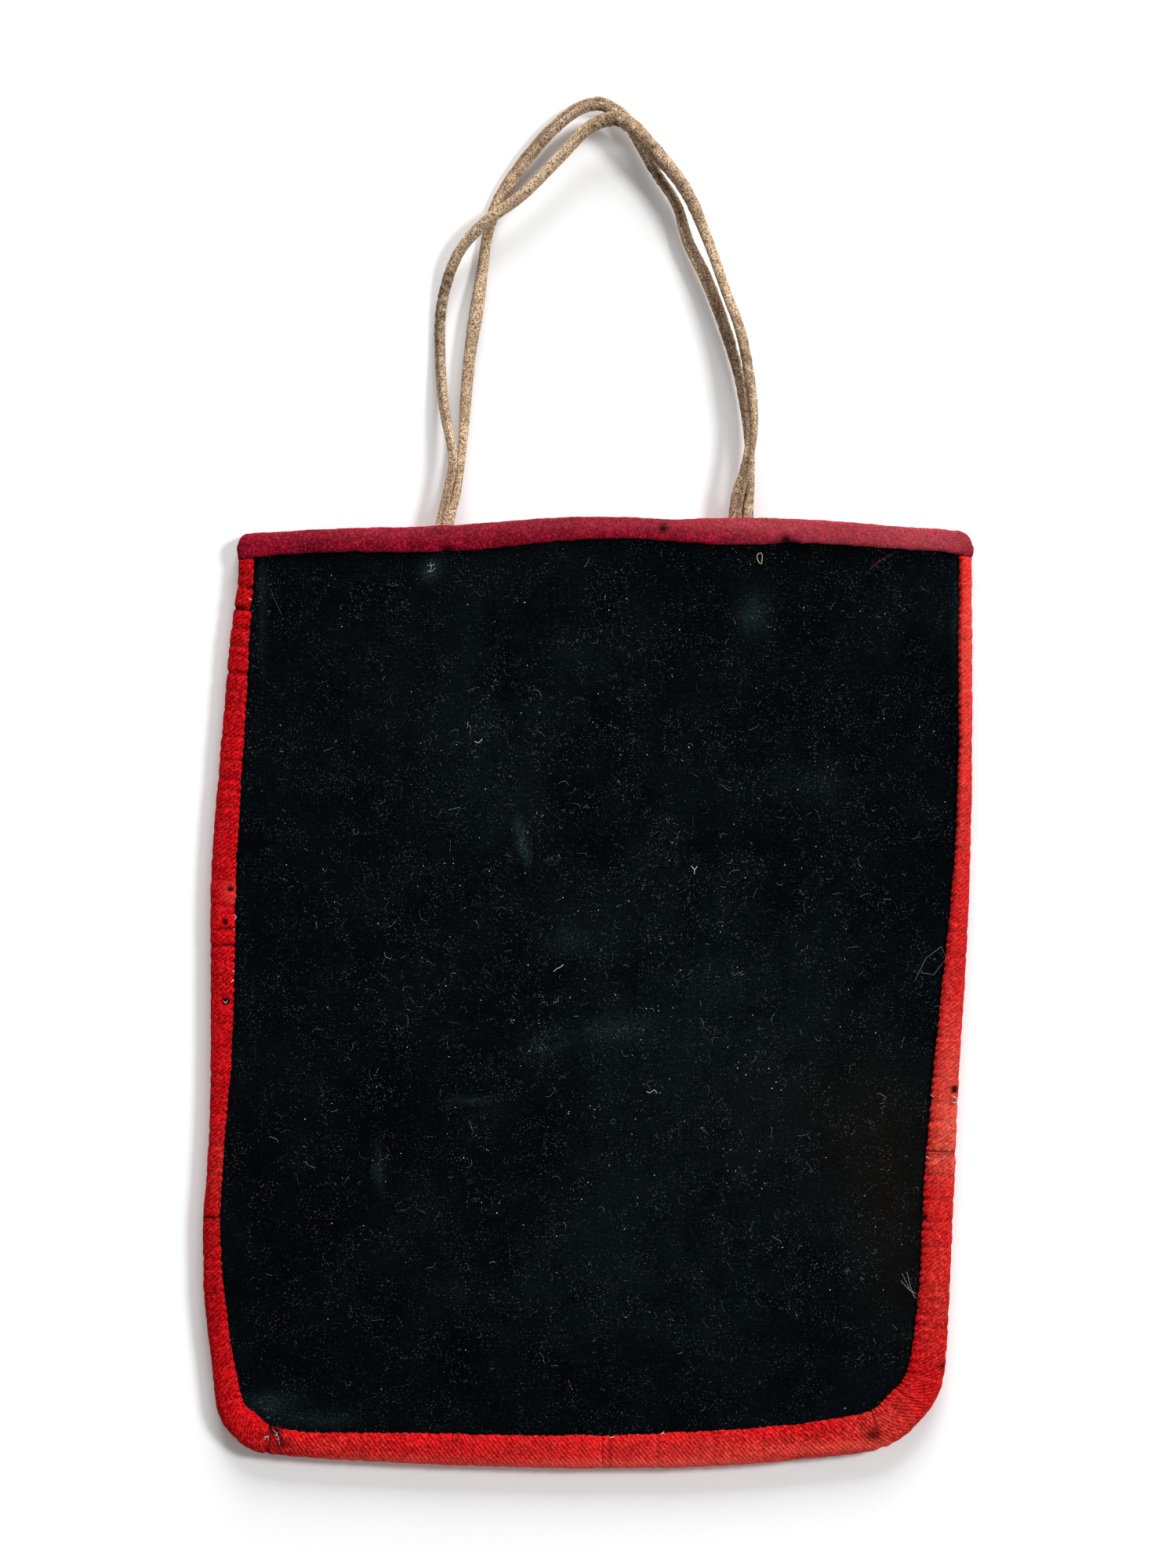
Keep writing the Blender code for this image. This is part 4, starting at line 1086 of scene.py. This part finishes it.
def rolled_thong(name, turn_rate, turn_start, flatness, base_flatness):
    """A thong lofted along its route, with the rolled strip's free edge winding along it."""
    route, sizes, run = smooth_route(name)
    way = np.gradient(route, axis=0)
    way /= np.linalg.norm(way, axis=1)[:, None]
    # The same spots roughen the skin and darken it: dirt, and painted shade on the outer thong's inner side.
    dirt_and_shade = THONG_DIRT_AND_SHADE * spots(route, THONG_GRIME_AND_SHADE[name])
    points, grimes_and_shade, seam_shades = [], [], []
    for k, place in enumerate(route):
        forward = Vector(way[k])
        side = forward.cross(UP).normalized()
        above = side.cross(forward).normalized()
        s = run[k]
        lip_turn = turn_start + turn_rate * s + 0.8 * wobble(s, 0, 18, 1.0)
        rough = float(smooth_step((dirt_and_shade[k] - 0.35) * 2))
        low = math.exp(-(((place[1] - MOUTH_LEVEL) / 0.012) ** 2))
        squeeze = flatness * (0.5 + 0.8 * wobble(s, 0, 30, 3.0)) + base_flatness * low
        wraps = 0.10 * low * rough * math.sin(2 * math.pi * s / WRAP_PITCH)
        for n in range(THONG_SIDES):
            turn = 2 * math.pi * n / THONG_SIDES
            ahead = (turn - lip_turn) % (2 * math.pi) / (2 * math.pi)
            lip = ROLL_LIP * (0.5 - ahead)
            groove = math.exp(-0.5 * (min(ahead, 1 - ahead) / 0.05) ** 2)
            wrinkle = (0.05 + 0.10 * rough) * wobble(s + turn * 0.0006, turn * 0.0013, 620, 8.0)
            wrinkle += (0.04 + 0.07 * rough) * wobble(s, turn * 0.0016, 1500, 5.0)
            radius = sizes[k] * (1 + lip - 0.18 * groove + wrinkle + wraps)
            point = Vector(place) + side * (math.cos(turn) * (1 + squeeze) * radius)
            point += above * (math.sin(turn) * (1 - 0.6 * squeeze) * radius)
            point.z = max(point.z, 0.0001)
            points.append(point)
            seam_shades.append(groove)
            grimes_and_shade.append(dirt_and_shade[k] * (0.7 + wobble(s, turn * 0.002, 500, 2.0)))
    faces = loft_faces(len(route), THONG_SIDES)
    piece = new_piece(name + "_thong", points, faces, buckskin, [name])
    outwards(piece)
    store(piece, "grime_and_shade", np.clip(grimes_and_shade, 0, 1))
    store(piece, "seam_shade", np.clip(seam_shades, 0, 1))
    print(f"{name}: {1000 * run[-1]:.0f} mm of thong, {len(piece.data.polygons)} faces")
    return piece


inner_thong = rolled_thong("inner_handle", 22.0, 1.0, 0.06, 0.08)
outer_thong = rolled_thong("outer_handle", -14.0, 4.6, 0.16, 0.10)

# %% [markdown]
# Old velvet gathers lint. Each fibre is a thin tube along a short curly walk, and each speck a
# tiny diamond. A walk with small random turns looks like a hair, and laying every point on the
# velvet by a ray keeps the fibres from floating. All of them are joined in one mesh.

# %% Lint colour and walks
lint, tree, shader = new_material("lint")
place = flat_place(tree)
colour = blend(tree, stored(tree, "tone"), rgb(74, 92, 102), rgb(246, 246, 240))
colour = blend(tree, spread(tree, cloudy(tree, place, 400.0), 0.5, 0.7, 0.0, 0.15), colour, rgb(150, 132, 100))
feed(tree, shader.inputs["Base Color"], colour)
shader.inputs["Roughness"].default_value = 0.9
feed(tree, shader.inputs["Normal"], bumped(tree, cloudy(tree, place, 5000.0), 0.00003))

bpy.context.view_layer.update()
dressed = [
    BVHTree.FromObject(piece, bpy.context.evaluated_depsgraph_get()) for piece in [back, band, *tapes]
]


def on_top(x, y, lift, skins):
    """The place just above the highest of some skins, or nothing."""
    hits = [one.ray_cast(Vector((x, y, HIGH)), -UP)[0] for one in skins]
    levels = [hit.z for hit in hits if hit is not None]
    return Vector((x, y, max(levels) + lift)) if levels else None


def thread_rings(walk, radius, sides=3):
    """Rings of points round a walk, for a thin thread."""
    rings = []
    for k, point in enumerate(walk):
        forward = (walk[min(k + 1, len(walk) - 1)] - walk[max(k - 1, 0)]).normalized()
        side = forward.cross(UP).normalized() if abs(forward.z) < 0.95 else Vector((1, 0, 0))
        above = side.cross(forward)
        for n in range(sides):
            turn = 2 * math.pi * n / sides
            rings.append(point + (side * math.cos(turn) + above * math.sin(turn)) * radius)
    return rings


def curly_walk(x, y, length, curl, steps):
    """A short walk over the velvet that turns a little at each step."""
    heading = random.uniform(0, 2 * math.pi)
    bend = random.uniform(-curl, curl)
    walk = []
    for _ in range(steps):
        point = on_top(x, y, random.uniform(0.00005, 0.00025), dressed[:1])
        if point is None:
            return []
        walk.append(point)
        heading += bend + random.uniform(-curl, curl) * 0.7
        x += math.cos(heading) * length / steps
        y += math.sin(heading) * length / steps
    return walk


# %% Lint
FIBRES = 1300
SPECKS = 6200
FIBRE_RADIUS = 0.000010
SPECK_SIZES = (0.00004, 0.00005, 0.00006, 0.00006, 0.00008)
BRIGHT_SHARE = 0.035
LINT_CENTRE = at(780, 1150)
LINT_REACH = (0.070, 0.092)
LINT_LOW, LINT_HIGH = at(312, 1800), at(1206, 718)
random.seed(5)


def lint_place():
    """A random place on the open velvet, more often near the lint's centre."""
    while True:
        x = random.gauss(LINT_CENTRE.x, LINT_REACH[0])
        y = random.gauss(LINT_CENTRE.y, LINT_REACH[1])
        clumped = 0.7 + 0.8 * wobble(x, y, 60, 3.0)
        if LINT_LOW.x < x < LINT_HIGH.x and LINT_LOW.y < y < LINT_HIGH.y and random.random() < clumped:
            return x, y


points, faces, tones = [], [], []
for _ in range(FIBRES):
    x, y = lint_place()
    length = random.choice((0.0008, 0.0012, 0.0018, 0.0026, 0.0045))
    walk = curly_walk(x, y, length, random.uniform(0.2, 1.0), random.randint(4, 9))
    if len(walk) < 3:
        continue
    rings = thread_rings(walk, FIBRE_RADIUS * random.uniform(0.6, 1.4))
    start = len(points)
    points += rings
    faces += [tuple(start + k for k in face) for face in loft_faces(len(walk), 3)]
    tones += [random.random() ** 2.0] * len(rings)
for _ in range(SPECKS):
    x, y = lint_place()
    point = on_top(x, y, 0.00010, dressed[:1])
    if point is None:
        continue
    bright = random.random() < BRIGHT_SHARE
    size = 0.00014 if bright else random.choice(SPECK_SIZES)
    start = len(points)
    for way in ((1, 0, 0), (0, 1, 0), (-1, 0, 0), (0, -1, 0), (0, 0, 1), (0, 0, -1)):
        points.append(point + Vector(way) * size * random.uniform(0.6, 1.4))
    for k in range(4):
        n = (k + 1) % 4
        faces += [(start + k, start + n, start + 4), (start + n, start + k, start + 5)]
    tones += [1.0 if bright else 0.6 * random.random() ** 2.6] * 6
lint_piece = new_piece("lint", points, faces, lint, smooth=False)
store(lint_piece, "tone", tones)
print(f"lint: {len(faces)} faces")

# %% [markdown]
# A few threads stand out: a tan stitch in the shape of a D, red ends that hang from the mouth, a
# loop of grey hair, some bristles, and the white stitches that hold the bindings. Each is drawn
# as a line of pixels in the photograph and becomes a thin tube on whatever lies under it.

# %% Threads
THREAD_KINDS = {"white": 0.95, "grey": 0.35, "pale": 0.7}
LOOSE_THREADS = (
    ("grey", 0.025, ((1166, 1250), (1180, 1222), (1200, 1207), (1206, 1222), (1190, 1243), (1174, 1240))),
    ("pale", 0.025, ((1150, 1623), (1158, 1640), (1170, 1658))),
    ("pale", 0.025, ((1156, 1621), (1160, 1638), (1166, 1655))),
    ("pale", 0.03, ((1148, 1632), (1160, 1645), (1168, 1649))),
    ("white", 0.06, ((881, 1104), (885, 1109), (889, 1104), (885, 1109), (885, 1114))),
    ("white", 0.06, ((706, 1238), (711, 1234), (714, 1233), (719, 1229))),
    ("white", 0.05, ((824, 1390), (828, 1392), (834, 1388), (838, 1392))),
    ("white", 0.05, ((606, 946), (611, 948), (616, 943))),
    ("white", 0.03, ((546, 722), (551, 724), (556, 721))),
    ("white", 0.03, ((550, 719), (552, 725), (549, 732))),
    ("pale", 0.03, ((556, 727), (551, 731), (546, 730))),
    ("grey", 0.012, ((346, 752), (352, 768), (360, 784))),
    ("white", 0.045, ((337, 1831), (341, 1830), (344, 1831), (343, 1835))),
    ("white", 0.035, ((344, 1829), (340, 1832), (338, 1834))),
    ("white", 0.045, ((349, 1821), (351, 1824), (355, 1826), (353, 1829))),
    ("white", 0.045, ((352, 1827), (356, 1830), (357, 1834), (354, 1833))),
    ("white", 0.035, ((356, 1835), (358, 1838), (357, 1841))),
    ("pale", 0.10, ((1214, 1397), (1219, 1400), (1219, 1406), (1214, 1405))),
    ("white", 0.10, ((286, 1276), (289, 1279), (291, 1276))),
    ("white", 0.09, ((300, 1166), (302, 1170), (301, 1172))),
    ("white", 0.09, ((299, 1184), (300, 1187))),
    ("white", 0.09, ((298, 1237), (300, 1239))),
    ("white", 0.09, ((296, 1252), (299, 1249))),
    ("white", 0.09, ((319, 764), (322, 766))),
    ("pale", 0.08, ((1186, 1396), (1190, 1398))),
    ("pale", 0.09, ((1180, 1474), (1184, 1477))),
    ("white", 0.08, ((778, 1832), (783, 1831))),
    ("white", 0.08, ((843, 1827), (847, 1825))),
)
TAN_STITCH = ((970, 721), (967, 720), (965, 716), (964, 711), (966, 708), (969, 707), (971, 710), (970, 721))
RED_THREADS = (
    (0.045, ((1106, 729), (1117, 720), (1128, 711), (1138, 707))),
    (0.030, ((1107, 725), (1120, 717), (1134, 711))),
    (0.14, ((624, 1858), (628, 1862), (631, 1863))),
)


def thread_line(dots, radius):
    """A thread's rings along dots in the photograph, on whatever is under them."""
    walk = []
    for (px, py), (nx, ny) in zip(dots, dots[1:]):
        walk += [at(px + (nx - px) * t, py + (ny - py) * t) for t in (0, 0.25, 0.5, 0.75)]
    walk.append(at(*dots[-1]))
    laid = [on_top(dot.x, dot.y, radius * 0.7, dressed) for dot in walk]
    return thread_rings([point for point in laid if point is not None], radius, 5)


def thread_piece(name, lines, material):
    """Threads joined in one piece, each a radius in millimetres, its dots and its tone."""
    points, faces, tones = [], [], []
    for radius, dots, tone in lines:
        rings = thread_line(dots, radius * 0.001)
        if len(rings) < 10:
            continue
        faces += [tuple(len(points) + k for k in face) for face in loft_faces(len(rings) // 5, 5)]
        points += rings
        tones += [tone] * len(rings)
    piece = new_piece(name, points, faces, material)
    store(piece, "tone", tones)
    return piece


pale_lines = [(radius, dots, THREAD_KINDS[kind]) for kind, radius, dots in LOOSE_THREADS]
thread_piece("loose_threads", pale_lines, lint)
thread_piece("tan_stitch", [(0.13, TAN_STITCH, 0.0)], canvas)
red_lines = [(radius, dots, 0.0) for radius, dots in RED_THREADS]
red_ends = thread_piece("red_thread_ends", red_lines, crimson_wool)
store(red_ends, "wear", np.full(len(red_ends.data.vertices), 0.3))
store(red_ends, "grime_and_shade", np.zeros(len(red_ends.data.vertices)))
print("threads:", len(pale_lines) + len(red_lines))

# %% [markdown]
# The table is a plain pale sheet, lit as a studio flat-lay. The thongs' shadows fall to the left
# and are narrow, so the key light stands at the right and is small. The shadow below the bag is
# long and soft, so a second, window-like light lies low beyond the mouth. A pale surround fills
# what both leave dark.

# %% Table, light and surround
TABLE_SIZE = 6.0
LIGHTS = {
    "key": ((0.689, 0.278, 0.669), 5.0, 1.0, 1.0, 168.0),
    "window": ((0.05, 0.920, 0.370), 5.0, 3.0, 2.3, 315.0),
}
SURROUND = 0.31

table_finish, tree, shader = new_material("table")
place = flat_place(tree)
paper = blend(tree, cloudy(tree, place, 6.0), (0.91, 0.91, 0.91, 1), (0.93, 0.93, 0.93, 1))
feed(tree, shader.inputs["Base Color"], paper)
shader.inputs["Roughness"].default_value = 0.95
shader.inputs["Specular IOR Level"].default_value = 0.1
half = TABLE_SIZE / 2
mesh = bpy.data.meshes.new("table")
corners = [(-half, -half, 0), (half, -half, 0), (half, half, 0), (-half, half, 0)]
mesh.from_pydata(corners, [], [(0, 1, 2, 3)])
mesh.materials.append(table_finish)
table = bpy.data.objects.new("table", mesh)
bpy.context.scene.collection.objects.link(table)

for name, (way, distance, width, height, power) in LIGHTS.items():
    lamp = bpy.data.objects.new(name, bpy.data.lights.new(name, "AREA"))
    lamp.data.shape = "RECTANGLE"
    lamp.data.size = width
    lamp.data.size_y = height
    lamp.data.energy = power
    way = Vector(way).normalized()
    lamp.location = Vector((0, 0.05, 0)) + way * distance
    lamp.rotation_euler = way.to_track_quat("Z", "Y").to_euler()
    bpy.context.scene.collection.objects.link(lamp)

world = bpy.data.worlds.new("surround")
world.use_nodes = True
world.node_tree.nodes["Background"].inputs["Color"].default_value = (1, 1, 1, 1)
world.node_tree.nodes["Background"].inputs["Strength"].default_value = SURROUND
bpy.context.scene.world = world
bpy.context.scene.view_settings.view_transform = "Standard"
print("table and lights set")
